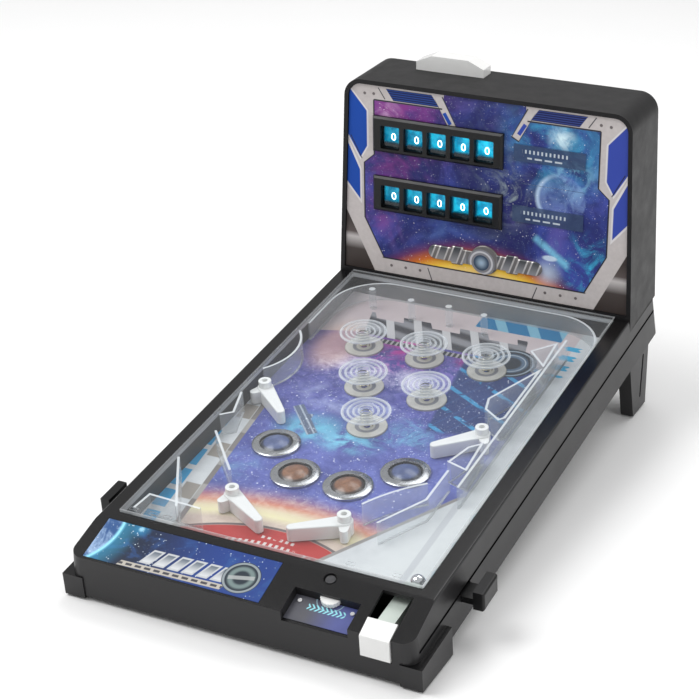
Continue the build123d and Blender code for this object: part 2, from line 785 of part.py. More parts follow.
with BuildPart() as dial_plate:
    block(apron, (dial_left + fit_gap, 1.0, -dial_deep), (dial_right - fit_gap, dial_back - fit_gap, 0.5 - dial_deep))

with BuildPart() as counter_wheel:
    with BuildSketch(apron.offset(wheel_low)):
        with Locations(wheel_at):
            Circle(wheel_radius)
            Circle(wheel_pin, mode=Mode.SUBTRACT)
    extrude(amount=wheel_thick)
    with BuildSketch(apron.offset(wheel_low - 1)):
        with Locations(wheel_at):
            with PolarLocations(wheel_radius, 22):
                Circle(0.45)
    extrude(amount=wheel_thick + 2, mode=Mode.SUBTRACT)

# ---------------------------------------------------------------- score head
def head_outline(inset, foot):
    """The head's front outline, drawn on the current sketch plane."""
    low = foot
    high = head_height - inset
    slant = (head_half_bottom - head_half_top) / head_height
    bottom = head_half_bottom - slant * low - inset
    top = head_half_bottom - slant * high - inset
    with BuildLine() as outline:
        FilletPolyline((0, low), (-bottom, low), (-top, high), (0, high),
                       radius=[0.8, max(head_corner - inset, 1)])
        mirror(about=Plane.YZ)
    make_face(outline.edges())


panel_front = -panel_recess
panel_back = panel_front - panel_thick
axle_depth = -panel_back + reel_gap + reel_radius
rib_left = reel_first - reel_width / 2 - 4
rib_right = reel_first + (reel_count - 1) * reel_pitch + reel_width / 2 + 4
bar_back = head_depth - bar_from_back
bar_front = bar_back - bar_depth
shelf_top = head_height - bar_inside - reset_spring_length

with BuildPart() as head_shell:
    with BuildSketch(head.offset(-head_depth)):
        head_outline(0, -20)
    extrude(amount=head_depth)
    with BuildSketch(head.offset(wall - head_depth)):
        head_outline(head_wall, -head_wall)
    extrude(amount=head_depth, mode=Mode.SUBTRACT)
    split(bisect_by=deck.offset(head_seat), keep=Keep.TOP)
    sill = head_half_bottom - head_wall / 2
    block(head, (-sill, -head_wall / 2, -sill_deep), (sill, panel_bottom, 0))
    # cheeks that carry the reel axles
    for edge in (rib_left - 2, rib_right):
        block(head, (edge, min(reel_rows.values()) - 12, wall / 2 - head_depth),
              (edge + 2, max(reel_rows.values()) + 10, -axle_depth + 6))
    for level in reel_rows.values():
        row = Plane(origin=head.from_local_coords((0, level, -axle_depth)), x_dir=head.y_dir, z_dir=(1, 0, 0))
        with BuildSketch(row.offset(rib_left - 3)):
            Circle(reel_axle)
        extrude(amount=rib_right - rib_left + 6, mode=Mode.SUBTRACT)
    # shelf and slot of the reset bar
    block(head, (bar_left + 4, shelf_top - 2, wall / 2 - head_depth), (bar_right - 4, shelf_top, -bar_front - 1))
    block(head, (bar_left - bar_gap, head_height - head_wall - 1, -bar_back - bar_gap),
          (bar_right + bar_gap, head_height + 1, -bar_front + bar_gap), Mode.SUBTRACT)

row_left = reel_first - cell_width / 2
row_right = reel_first + (reel_count - 1) * reel_pitch + cell_width / 2

with BuildPart() as head_panel:
    with BuildSketch(head.offset(panel_back)):
        head_outline(head_wall + fit_gap, panel_bottom + fit_gap)
    extrude(amount=panel_thick)
    for level in reel_rows.values():
        block(head, (row_left - 3, level - cell_height / 2 - 1.5, panel_back - 1),
              (row_right + 3, level + cell_height / 2 + 1.5, panel_front + 1), Mode.SUBTRACT)
        block(head, (plaque_left, level - plaque_height / 2 + 3, panel_front - 0.5),
              (plaque_right, level + plaque_height / 2 + 3, panel_front + plaque_proud))


def make_bezel(level):
    """A framed strip with one window for each reel."""
    with BuildPart() as bezel:
        block(head, (row_left - bezel_side, level - cell_height / 2 - bezel_under, panel_front),
              (row_right + bezel_side, level + cell_height / 2 + bezel_over, panel_front + bezel_thick))
        chamfer(bezel.faces().sort_by(Axis((0, 0, 0), head.z_dir)).last.edges(), bezel_chamfer)
        with BuildSketch(head.offset(panel_front - 1)):
            for i in range(reel_count):
                with Locations((reel_first + i * reel_pitch, level)):
                    RectangleRounded(cell_width, cell_height, 1.2)
        extrude(amount=bezel_thick + 2, mode=Mode.SUBTRACT)
    return bezel


bezels = {name: make_bezel(level) for name, level in reel_rows.items()}

with BuildPart() as score_windows:
    for level in reel_rows.values():
        block(head, (row_left - 2.7, level - cell_height / 2 - 1.2, panel_front - lens_thick),
              (row_right + 2.7, level + cell_height / 2 + 1.2, panel_front))

with BuildPart() as title_emblem:
    with BuildSketch(head.offset(panel_front)):
        with Locations((2.5, 30)):
            SlotOverall(99, 12)
            Circle(12.5)
            with PolarLocations(24, 2):
                RegularPolygon(9, 6)
    extrude(amount=1.4)
    chamfer(title_emblem.faces().sort_by(Axis((0, 0, 0), head.z_dir)).last.edges(), 0.5)

with BuildPart() as reel_axles:
    for level in reel_rows.values():
        row = Plane(origin=head.from_local_coords((0, level, -axle_depth)), x_dir=head.y_dir, z_dir=(1, 0, 0))
        with BuildSketch(row.offset(rib_left - 2)):
            Circle(reel_axle)
        extrude(amount=rib_right - rib_left + 4)


def make_reel(level, x):
    """One score reel: a rim, a web and a hub that turns on the fixed axle."""
    row = Plane(origin=head.from_local_coords((x, level, -axle_depth)), x_dir=head.y_dir, z_dir=(1, 0, 0))
    with BuildPart() as reel:
        with BuildSketch(row):
            Circle(reel_radius)
            Circle(reel_axle + run_gap, mode=Mode.SUBTRACT)
        extrude(amount=reel_width / 2, both=True)
        for face in (2, -2):
            with BuildSketch(row.offset(face)):
                Circle(reel_radius - 2)
                Circle(reel_axle + 2.5, mode=Mode.SUBTRACT)
            extrude(amount=face * reel_width, mode=Mode.SUBTRACT)
    return reel


reels = {
    f"score_reel_{name}_{i + 1}": make_reel(level, reel_first + i * reel_pitch)
    for name, level in reel_rows.items()
    for i in range(reel_count)
}

bar_mid = (bar_left + bar_right) / 2
with BuildPart() as reset_bar:
    with BuildSketch(head.offset(-bar_back)):
        with BuildLine():
            Polyline(
                (bar_left, head_height - bar_inside), (bar_left, head_height + bar_end_height),
                (bar_mid - bar_mid_width / 2, head_height + bar_mid_height),
                (bar_mid + bar_mid_width / 2, head_height + bar_mid_height),
                (bar_right, head_height + bar_end_height), (bar_right, head_height - bar_inside), close=True,
            )
        make_face()
    extrude(amount=bar_depth)
    fillet(reset_bar.edges().filter_by(Axis((0, 0, 0), head.z_dir)).group_by(Axis((0, 0, 0), head.y_dir))[-1], 1.5)

reset_coil = coil(3.0, 0.4, reset_spring_length - 1.2, 4)
with BuildPart() as reset_springs:
    for x in (bar_mid - 15, bar_mid + 15):
        base = head.from_local_coords((x, shelf_top + 0.6, -(bar_front + bar_back) / 2))
        add(reset_coil.moved(Plane(origin=base, x_dir=(1, 0, 0), z_dir=head.y_dir).location))

# ---------------------------------------------------------------- electrics
with BuildPart() as speaker:
    with BuildSketch(deck.offset(floor_top)):
        with Locations(speaker_at):
            Circle(speaker_radius)
    extrude(amount=3)
    with BuildSketch(deck.offset(floor_top + 3)):
        with Locations(speaker_at):
            Circle(speaker_radius - 3)
    extrude(amount=speaker_height - 6, taper=30)
    with BuildSketch(deck.offset(floor_top + speaker_height - 3.5)):
        with Locations(speaker_at):
            Circle(13)
    extrude(amount=3.5)

with BuildPart() as main_board:
    cx, cs = circuit_at
    hx, hs = circuit_size[0] / 2, circuit_size[1] / 2
    level = floor_top + 4
    block(deck, (cx - hx, cs - hs, level), (cx + hx, cs + hs, level + 1.6))
    block(deck, (cx - 12, cs - 12, level + 1.6), (cx + 12, cs + 12, level + 3.4))
    for x in (-hx + 5, hx - 5):
        with BuildSketch(deck.offset(floor_top)):
            with Locations((cx + x, cs - hs + 5), (cx + x, cs + hs - 5)):
                Circle(2.5)
        extrude(amount=4.2)

with BuildPart() as battery_door:
    block(deck, (door_gap - bay_half_x, bay_station - bay_half_s + door_gap, tray_bottom),
          (bay_half_x - door_gap, bay_station + bay_half_s - door_gap, floor_top - 0.5))

with BuildPart() as battery_cells:
    for sx in (-1, 1):
        for ss in (-1, 1):
            x = sx * (cell_length / 2 + cell_gap)
            station = bay_station + ss * (cell_radius + cell_gap / 2)
            axis = Plane(origin=deck.from_local_coords((x, station, floor_top + cell_radius + cell_gap)),
                         x_dir=deck.y_dir, z_dir=(1, 0, 0))
            with BuildSketch(axis):
                Circle(cell_radius)
            extrude(amount=cell_length / 2 - 0.6, both=True)
            with BuildSketch(axis.offset(ss * (cell_length / 2 - 0.7))):
                Circle(2.6)
            extrude(amount=ss * 0.7)

with BuildPart() as power_switch:
    block(deck, (switch_x - 4.6, body_length - wall - 1.6, switch_level - 4),
          (switch_x + 0.6 + 4, body_length - wall - 0.2, switch_level + 4))
    block(deck, (switch_x - 4.6, body_length - wall - 0.4, switch_level - 2.2),
          (switch_x + 0.6, body_length + 1.0, switch_level + 2.2))

with BuildPart() as case_screws:
    with BuildSketch(apron.offset(-2.0)):
        with Locations(apron_screw):
            Circle(3.4)
    extrude(amount=1.4)
    for x in (dial_left + 5, dial_right - 5):
        with BuildSketch(apron.offset(0.5 - dial_deep)):
            with Locations((x, dial_back - 5)):
                Circle(1.5)
        extrude(amount=0.8)
    rear = Plane(origin=head.offset(-head_depth).origin, x_dir=(-1, 0, 0), z_dir=-head.z_dir)
    with BuildSketch(rear):
        with Locations((-100, 20), (100, 20), (-96, 145), (96, 145)):
            Circle(2.8)
    extrude(amount=0.9)

# ---------------------------------------------------------------- assembly
pieces = {
    "base_tray": base_tray,
    "top_frame": top_frame,
    "front_feet": front_feet,
    "rear_legs": rear_legs,
    "foot_pads": foot_pads,
    "playfield_board": playfield_board,
    "playfield_cover": playfield_cover,
    "arch_rail": arch_rail,
    "side_guides": side_guides,
    "inlane_guides": inlane_guides,
    "lane_posts": lane_posts,
    "contact_plates": contact_plates,
    "bumper_caps": bumper_caps,
    "contact_springs": contact_springs,
    "lamp_rings": lamp_rings,
    "lamps_blue": lamps_blue,
    "lamps_amber": lamps_amber,
    "flipper_button_left": button_left,
    "flipper_button_right": button_right,
    "push_bar_left": push_bar_left,
    "push_bar_right": push_bar_right,
    "button_spring_left": button_spring_left,
    "button_spring_right": button_spring_right,
    "launch_cradle": launch_cradle,
    "launch_knob": launch_knob,
    "plunger_rod": plunger_rod,
    "plunger_spring": plunger_spring,
    "game_ball": game_ball,
    "apron_label": apron_label,
    "dial_plate": dial_plate,
    "counter_wheel": counter_wheel,
    "head_shell": head_shell,
    "head_panel": head_panel,
    "score_windows": score_windows,
    "title_emblem": title_emblem,
    "reel_axles": reel_axles,
    "reset_bar": reset_bar,
    "reset_springs": reset_springs,
    "speaker": speaker,
    "main_board": main_board,
    "battery_door": battery_door,
    "battery_cells": battery_cells,
    "power_switch": power_switch,
    "case_screws": case_screws,
}
pieces.update({f"flipper_{name}": flipper for name, flipper in flippers.items()})
pieces.update({f"score_bezel_{name}": bezel for name, bezel in bezels.items()})
pieces.update(reels)

# the origin is under the middle of the whole machine, at table height
boxes = [piece.part.bounding_box() for piece in pieces.values()]
centre_y = (min(box.min.Y for box in boxes) + max(box.max.Y for box in boxes)) / 2
to_origin = Location((0, -centre_y, 0))

os.makedirs("parts", exist_ok=True)
for name, piece in pieces.items():
    piece.part.label = name
    export_step(to_origin * piece.part, f"parts/{name}.step")
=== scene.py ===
import bpy
import json
import math
from mathutils import Matrix, Vector


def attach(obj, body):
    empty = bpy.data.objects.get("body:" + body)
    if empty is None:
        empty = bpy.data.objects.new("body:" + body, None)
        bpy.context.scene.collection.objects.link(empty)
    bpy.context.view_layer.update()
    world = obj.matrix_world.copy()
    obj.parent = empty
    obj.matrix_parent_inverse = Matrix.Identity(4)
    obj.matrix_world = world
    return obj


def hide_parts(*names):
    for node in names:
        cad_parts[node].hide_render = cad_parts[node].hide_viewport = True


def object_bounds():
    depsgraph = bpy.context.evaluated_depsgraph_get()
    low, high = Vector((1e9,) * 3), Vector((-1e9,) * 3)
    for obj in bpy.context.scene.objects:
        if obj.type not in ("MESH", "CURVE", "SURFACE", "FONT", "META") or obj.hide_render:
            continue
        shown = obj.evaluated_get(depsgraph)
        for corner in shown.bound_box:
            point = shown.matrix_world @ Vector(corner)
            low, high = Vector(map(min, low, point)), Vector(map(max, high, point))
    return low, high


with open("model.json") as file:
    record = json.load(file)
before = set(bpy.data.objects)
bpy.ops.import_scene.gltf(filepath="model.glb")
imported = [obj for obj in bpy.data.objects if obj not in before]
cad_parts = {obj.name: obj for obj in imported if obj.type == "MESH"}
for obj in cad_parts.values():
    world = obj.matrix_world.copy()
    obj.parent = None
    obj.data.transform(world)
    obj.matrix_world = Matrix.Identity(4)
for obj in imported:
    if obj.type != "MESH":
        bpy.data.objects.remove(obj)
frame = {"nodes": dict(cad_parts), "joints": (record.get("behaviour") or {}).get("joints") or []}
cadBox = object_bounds()
nodes = frame["nodes"]
joints = {joint["name"]: joint for joint in frame["joints"]}
bpy.ops.object.select_all(action="DESELECT")
print("frame loaded:", len(nodes), "nodes")


# The machine's three planes, found from its joints.

def axisOf(name):
    return Vector(joints[name]["axis"]).normalized()


right = Vector((1, 0, 0))
layout = {
    "hubStation": 0.103, "hubHeight": -0.017,    # lower flipper hub, along and square to the deck
    "axleDepth": 0.024, "reelLevel": 0.1232,     # first upper reel, behind and up the head
    "boardTop": -0.0179,                         # the printed board's upper face
}
deckBack = axisOf("ball_roll")
deckUp = axisOf("upper_left_flip")
hub = Vector(joints["lower_left_flip"]["pos_m"])
deckOrigin = hub - right * hub.x - deckBack * layout["hubStation"] - deckUp * layout["hubHeight"]
headUp = -axisOf("reset_press")
headFront = right.cross(headUp)
reel = Vector(joints["reel_upper_1_turn"]["pos_m"])
headOrigin = reel - right * reel.x - headUp * layout["reelLevel"] + headFront * layout["axleDepth"]
apronUp = axisOf("counter_turn")
apronBack = apronUp.cross(right)
wheel = Vector(joints["counter_turn"]["pos_m"])
deckPlane = (deckOrigin, right, deckBack, deckUp)
headPlane = (headOrigin, right, headUp, headFront)
apronPlane = (wheel - right * wheel.x, right, apronBack, apronUp)


def onPlane(plane, x, y, z=0.0):
    return plane[0] + plane[1] * x + plane[2] * y + plane[3] * z


def solidSpots(name, plane):    # middle and half width of each solid of a node, in a plane's directions
    mesh = nodes[name].data
    keys = [tuple(round(value, 5) for value in vertex.co) for vertex in mesh.vertices]
    owner = {key: key for key in keys}

    def top(key):
        while owner[key] != key:
            owner[key] = owner[owner[key]]
            key = owner[key]
        return key

    for face in mesh.polygons:
        first, *others = [keys[index] for index in face.vertices]
        for other in others:
            owner[top(other)] = top(first)
    groups = {}
    for key in owner:
        away = Vector(key) - plane[0]
        groups.setdefault(top(key), []).append([away.dot(axis) for axis in plane[1:]])
    spots = []
    for points in groups.values():
        low = [min(values) for values in zip(*points)]
        high = [max(values) for values in zip(*points)]
        spots.append(((low[0] + high[0]) / 2, (low[1] + high[1]) / 2, (high[0] - low[0]) / 2, high[2]))
    return sorted(spots)


def planeMatrix(plane, x, y, z=0.0):
    spot = onPlane(plane, x, y, z)
    return Matrix((
        (plane[1].x, plane[2].x, plane[3].x, spot.x),
        (plane[1].y, plane[2].y, plane[3].y, spot.y),
        (plane[1].z, plane[2].z, plane[3].z, spot.z),
        (0, 0, 0, 1),
    ))


bumperSpots = solidSpots("bumper_caps", deckPlane)
lampSpots = solidSpots("lamps_blue", deckPlane) + solidSpots("lamps_amber", deckPlane)
print("bumpers and lamps found:", len(bumperSpots), len(lampSpots))


# Shader maths: a wire is one output socket.

class Wire:
    def __init__(self, tree, socket):
        self.tree = tree
        self.socket = socket

    def mathNode(self, operation, *values):
        made = self.tree.nodes.new("ShaderNodeMath")
        made.operation = operation
        for place, value in enumerate(values):
            if isinstance(value, Wire):
                self.tree.links.new(value.socket, made.inputs[place])
            else:
                made.inputs[place].default_value = value
        return Wire(self.tree, made.outputs[0])

    def __add__(self, other):
        return self.mathNode("ADD", self, other)

    def __sub__(self, other):
        return self.mathNode("SUBTRACT", self, other)

    def __rsub__(self, other):
        return self.mathNode("SUBTRACT", other, self)

    def __mul__(self, other):
        return self.mathNode("MULTIPLY", self, other)

    def __truediv__(self, other):
        return self.mathNode("DIVIDE", self, other)

    def __neg__(self):
        return self.mathNode("MULTIPLY", self, -1)

    def __abs__(self):
        return self.mathNode("ABSOLUTE", self)

    def __pow__(self, other):
        return self.mathNode("POWER", self, other)

    def least(self, other):
        return self.mathNode("MINIMUM", self, other)

    def most(self, other):
        return self.mathNode("MAXIMUM", self, other)

    def wrap(self, size):
        return self.mathNode("PINGPONG", self, size)

    __radd__ = __add__
    __rmul__ = __mul__


class Finish:
    def __init__(self, name, **fixed):
        self.material = bpy.data.materials.new(name)
        self.material.use_nodes = True
        self.tree = self.material.node_tree
        self.shader = self.tree.nodes["Principled BSDF"]
        self.output = self.tree.nodes["Material Output"]
        for socket, value in fixed.items():
            self.shader.inputs[socket.replace("_", " ")].default_value = value

    def node(self, kind, settings=None, inputs=None, output=0):
        made = self.tree.nodes.new("ShaderNode" + kind)
        for key, value in (settings or {}).items():
            if key == "stops":
                ramp = made.color_ramp
                while len(ramp.elements) < len(value):
                    ramp.elements.new(0.5)
                for stop, (place, colour) in zip(ramp.elements, value):
                    stop.position = place
                    stop.color = (*colour, 1)
            else:
                setattr(made, key, value)
        for key, value in (inputs or {}).items():
            socket = made.inputs[key]
            if isinstance(value, Wire):
                self.tree.links.new(value.socket, socket)
            elif socket.type == "RGBA" and len(value) == 3:
                socket.default_value = (*value, 1)
            else:
                socket.default_value = value
        return Wire(self.tree, made.outputs[output])

    def feed(self, socket, wire):
        self.tree.links.new(wire.socket, self.shader.inputs[socket])
        return self

    def spot(self):
        return self.node("TexCoord", output="Object")

    def flat(self, plane):
        offset = self.node("VectorMath", {"operation": "SUBTRACT"}, {0: self.spot(), 1: plane[0]})
        along = [self.node("VectorMath", {"operation": "DOT_PRODUCT"}, {0: offset, 1: axis * 1000}, "Value")
                 for axis in plane[1:]]
        return along

    def facing(self, axis):
        normal = self.node("NewGeometry", output="Normal")
        return self.node("VectorMath", {"operation": "DOT_PRODUCT"}, {0: normal, 1: axis}, "Value")

    def rise(self, wire, low, high):
        return self.node("MapRange", {"interpolation_type": "SMOOTHSTEP"},
                         {"Value": wire, "From Min": low, "From Max": high})

    def slope(self, wire, low, high, start, end):
        return self.node("MapRange", {}, {"Value": wire, "From Min": low, "From Max": high,
                                          "To Min": start, "To Max": end})

    def band(self, wire, low, high, soft=0.35):
        return self.rise(wire, low - soft, low + soft) * (1 - self.rise(wire, high - soft, high + soft))

    def reach(self, x, y, centreX, centreY, stretch=1.0):
        dx = x - centreX
        dy = (y - centreY) * stretch
        return (dx * dx + dy * dy) ** 0.5

    def disc(self, x, y, centreX, centreY, radius, soft=0.4, stretch=1.0):
        return 1 - self.rise(self.reach(x, y, centreX, centreY, stretch), radius - soft, radius + soft)

    def stroke(self, x, y, start, end, width, soft=0.3):
        run = Vector((end[0] - start[0], end[1] - start[1]))
        length = run.length
        run.normalize()
        along = (x - start[0]) * run.x + (y - start[1]) * run.y
        across = abs((y - start[1]) * run.x - (x - start[0]) * run.y)
        return self.band(along, 0, length, soft) * (1 - self.rise(across, width / 2 - soft, width / 2 + soft))

    def noise(self, scale, detail=4.0, rough=0.55, warp=0.0, vector=None, output=0):
        return self.node("TexNoise", {}, {"Vector": vector or self.spot(), "Scale": scale, "Detail": detail,
                                          "Roughness": rough, "Distortion": warp}, output)

    def mix(self, share, under, over, blend="MIX"):
        return self.node("Mix", {"data_type": "RGBA", "blend_type": blend},
                         {0: share, 6: under, 7: over}, 2)

    def lay(self, colour, *layers):
        for mask, over in layers:
            colour = self.mix(mask, colour, over)
        return colour

    def ramp(self, wire, *stops):
        return self.node("ValToRGB", {"stops": stops}, {0: wire})

    def stars(self, scale, size):
        cells = self.node("TexVoronoi", {"feature": "F1"}, {"Vector": self.spot(), "Scale": scale,
                                                             "Randomness": 1.0})
        which = self.node("TexNoise", {}, {"Vector": self.spot(), "Scale": scale / 3, "Detail": 1.0})
        return (1 - self.rise(cells, size * 0.3, size)) * self.rise(which, 0.45, 0.62)

    def bump(self, height, strength, distance=0.0004):
        normal = self.node("Bump", {}, {"Height": height, "Strength": strength, "Distance": distance})
        return self.feed("Normal", normal)


# Plain finishes.

# dark and light: painted shade and painted sheen of the case, dark for faces that look up, light for the sides
plasticLook = {"dark": (0.0045, 0.0043, 0.0048), "light": (0.016, 0.0155, 0.0165),
               "topRough": 0.20, "sideRough": 0.38, "grain": 5200}


def bodyPlastic():
    made = Finish("charcoalPlastic", IOR=1.42)
    upward = made.rise(made.facing(deckUp), 0.75, 0.95)
    blotch = made.noise(38, 5)
    grain = made.noise(plasticLook["grain"], 2)
    # painted shade and sheen: faces that look up take the dark colour and the sides the light one, standing in
    # for how the light falls on the glossy case; the blotches are real tone
    shade = made.mix(upward * 0.8 + blotch * 0.15, plasticLook["light"], plasticLook["dark"])
    speck = made.mix(made.rise(grain, 0.62, 0.72) * 0.25, shade, (0.035, 0.035, 0.037))
    made.feed("Base Color", speck)
    rough = made.slope(upward, 0, 1, plasticLook["sideRough"], plasticLook["topRough"]) + (blotch - 0.5) * 0.12
    made.feed("Roughness", rough)
    return made.bump(grain, 0.12, 0.0002).material


def tintedPlastic(name, dark, light, rough, grain=900, strength=0.05, **fixed):
    made = Finish(name, **fixed)
    blotch = made.noise(70, 5)
    made.feed("Base Color", made.mix(blotch, dark, light))
    made.feed("Roughness", made.slope(blotch, 0.2, 0.8, rough * 0.8, rough * 1.25))
    return made.bump(made.noise(grain, 3), strength, 0.0002).material


def metalFinish(name, dark, light, rough, scratch=400, strength=0.08, metallic=1.0):
    made = Finish(name, Metallic=metallic)
    streak = made.node("Mapping", {}, {"Vector": made.spot(), "Scale": (scratch, scratch * 0.07, scratch)})
    lines = made.node("TexNoise", {}, {"Vector": streak, "Scale": 1.0, "Detail": 4.0})
    tarnish = made.noise(120, 4)
    made.feed("Base Color", made.mix(tarnish, dark, light))
    made.feed("Roughness", made.slope(lines, 0.3, 0.7, rough * 0.7, rough * 1.3))
    return made.bump(lines, strength, 0.0001).material


# dark: painted shade for the heads down in wells; bright: the steel of the heads on the dial
screwLook = {"dark": ((0.03, 0.03, 0.032), (0.09, 0.09, 0.095)),
             "bright": ((0.42, 0.42, 0.43), (0.72, 0.72, 0.73))}


def screwFinish():    # bright heads on the dial; the ones down in their wells darker, as painted shade of the wells
    made = Finish("screwSteel", Metallic=0.7)
    _, a, _ = made.flat(apronPlane)
    wellShade = made.rise(a, 1.5, 2.5).most(1 - made.rise(a, -30, -29))
    grain = made.noise(700, 4)
    made.feed("Base Color", made.mix(wellShade, made.mix(grain, *screwLook["bright"]),
                                     made.mix(grain, *screwLook["dark"])))
    made.feed("Roughness", made.slope(grain, 0.3, 0.7, 0.28, 0.5))
    return made.bump(grain, 0.2, 0.0002).material


def nearest(made, x, s, spots):    # distance to the nearest spot, in millimetres
    away = [made.reach(x, s, spot[0] * 1000, spot[1] * 1000) for spot in spots]
    shortest = away[0]
    for other in away[1:]:
        shortest = shortest.least(other)
    return shortest


plateLook = {"ring": (6.2, 9.2), "hub": (5.0, 6.0), "rim": (14.6, 15.4),
             "dull": (0.56, 0.53, 0.47), "bright": (0.84, 0.81, 0.75)}


def plateFinish():
    made = Finish("contactPlate", Metallic=0.35)
    x, s, _ = made.flat(deckPlane)
    away = nearest(made, x, s, bumperSpots)
    tarnish = made.noise(110, 5)
    base = made.mix(tarnish, plateLook["dull"], plateLook["bright"])
    ring = made.band(away, *plateLook["ring"], 0.3)
    made.feed("Base Color", made.lay(
        base,
        (ring * 0.75, (0.16, 0.165, 0.21)),
        (made.band(away, *plateLook["hub"], 0.3) * 0.8, (0.70, 0.67, 0.60)),
        (made.rise(away, *plateLook["rim"]) * 0.6, (0.30, 0.28, 0.25)),
    ))
    made.feed("Roughness", made.slope(tarnish, 0.3, 0.7, 0.28, 0.48))
    return made.bump(tarnish + ring, 0.15, 0.0003).material


def ringFinish():
    made = Finish("chromeRing", Metallic=0.95)
    x, s, _ = made.flat(deckPlane)
    away = nearest(made, x, s, lampSpots)
    haze = made.noise(150, 4)
    # painted shade: inside 12 mm, the floor of the ring's well round the lens is made nearly black
    made.feed("Base Color", made.lay(
        made.mix(haze, (0.36, 0.36, 0.37), (0.50, 0.50, 0.51)),
        (1 - made.rise(away, 12.0, 12.6), (0.03, 0.03, 0.035)),
    ))
    made.feed("Roughness", made.slope(haze, 0.3, 0.7, 0.16, 0.30))
    return made.bump(haze, 0.05, 0.0002).material


clearLook = {"ior": 1.45, "gloss": 0.7, "footLine": 0.5, "ringPitch": 2.08, "ringShift": 0.9,
             "rimHighlight": (18.2, 18.8)}


def clearPlastic(name, haze, edge, shape="edges"):
    made = Finish(name, IOR=clearLook["ior"], Coat_Weight=0.3)
    scuff = made.noise(90, 5, 0.6, 0.4)
    streak = made.noise(24, 3, 0.5, 1.0)
    made.feed("Base Color", made.mix(scuff, (0.80, 0.83, 0.86), (0.97, 0.98, 0.98)))
    made.feed("Roughness", made.slope(scuff, 0.3, 0.8, 0.05, 0.18))
    x, s, height = made.flat(deckPlane)
    upward = abs(made.facing(deckUp))
    if shape == "edges":    # standing walls: lit tops, and a line where they meet the board
        foot = layout["boardTop"] * 1000
        mask = made.rise(upward, 0.86, 0.97) + made.band(height, foot - 1, foot + 0.7) * clearLook["footLine"]
    elif shape == "rings":
        # bumper caps: painted highlights, white rings on the ridge crests and a white outer rim
        away = nearest(made, x, s, bumperSpots)
        crest = made.rise((away + clearLook["ringShift"]).wrap(clearLook["ringPitch"]), 1.0, 1.35)
        mask = crest * made.rise(away, 3, 6) + made.rise(away, *clearLook["rimHighlight"])
    else:
        # the cover: painted highlight on its edges and skirts, the faces that do not look up
        mask = 1 - made.rise(upward, 0.55, 0.93)
    fresnel = made.node("Fresnel", {}, {"IOR": clearLook["ior"]})
    behind = made.node("NewGeometry", output="Backfacing")
    share = fresnel * (1 - behind) * clearLook["gloss"] + mask * edge + haze + streak * haze * 0.8
    through = made.node("BsdfTransparent", {}, {"Color": (0.975, 0.985, 0.99, 1)})
    both = made.node("MixShader", {}, {0: share.least(1), 1: through, 2: Wire(made.tree, made.shader.outputs[0])})
    made.tree.links.new(both.socket, made.output.inputs["Surface"])
    return made.material


def lensFinish(name, rim, middle, glow):
    made = Finish(name, Coat_Weight=0.5, Coat_Roughness=0.16)
    x, s, _ = made.flat(deckPlane)
    away = nearest(made, x, s, lampSpots)
    flecks = made.node("TexVoronoi", {"feature": "F1"}, {"Vector": made.spot(), "Scale": 420.0})
    swirl = made.noise(160, 4, 0.6, 1.2)
    body = made.mix(made.rise(swirl, 0.35, 0.7), middle, glow)
    # painted shade: the lens darkens to its rim colour towards the edge, where it sits down in the chrome ring
    made.feed("Base Color", made.lay(
        body,
        (made.rise(flecks, 0.5, 0.1) * 0.15, glow),
        (made.rise(away, 8.6, 10.6), rim),
    ))
    made.feed("Roughness", made.slope(swirl, 0.3, 0.7, 0.3, 0.42))
    return made.bump(flecks, 0.1, 0.0003).material


# Printed art. Places are in millimetres along the plane that carries the print.

# the colours of the night sky on both prints
spaceColours = {"night": (0.016, 0.020, 0.12), "blue": (0.055, 0.085, 0.40), "violet": (0.14, 0.11, 0.40),
                "magenta": (0.26, 0.035, 0.24), "cyan": (0.05, 0.42, 0.66), "cloud": (0.66, 0.62, 0.80)}

headLook = {"plaqueLeft": 25.5, "plaqueRight": 85, "plaqueHalf": 6.9, "plaqueLevels": (75.2, 126.2),
            "planet": (66, 92), "planetRadius": 20, "horizonCentre": (-2, -96), "horizonRadius": 127,
            "rivets": ((96, 157.5), (104, 157.0), (55, 10.5), (68, 10.5), (81, 10.5)), "rivetRadius": 1.25,
            "frameDark": (0.40, 0.36, 0.35), "frameLight": (0.66, 0.62, 0.605)}


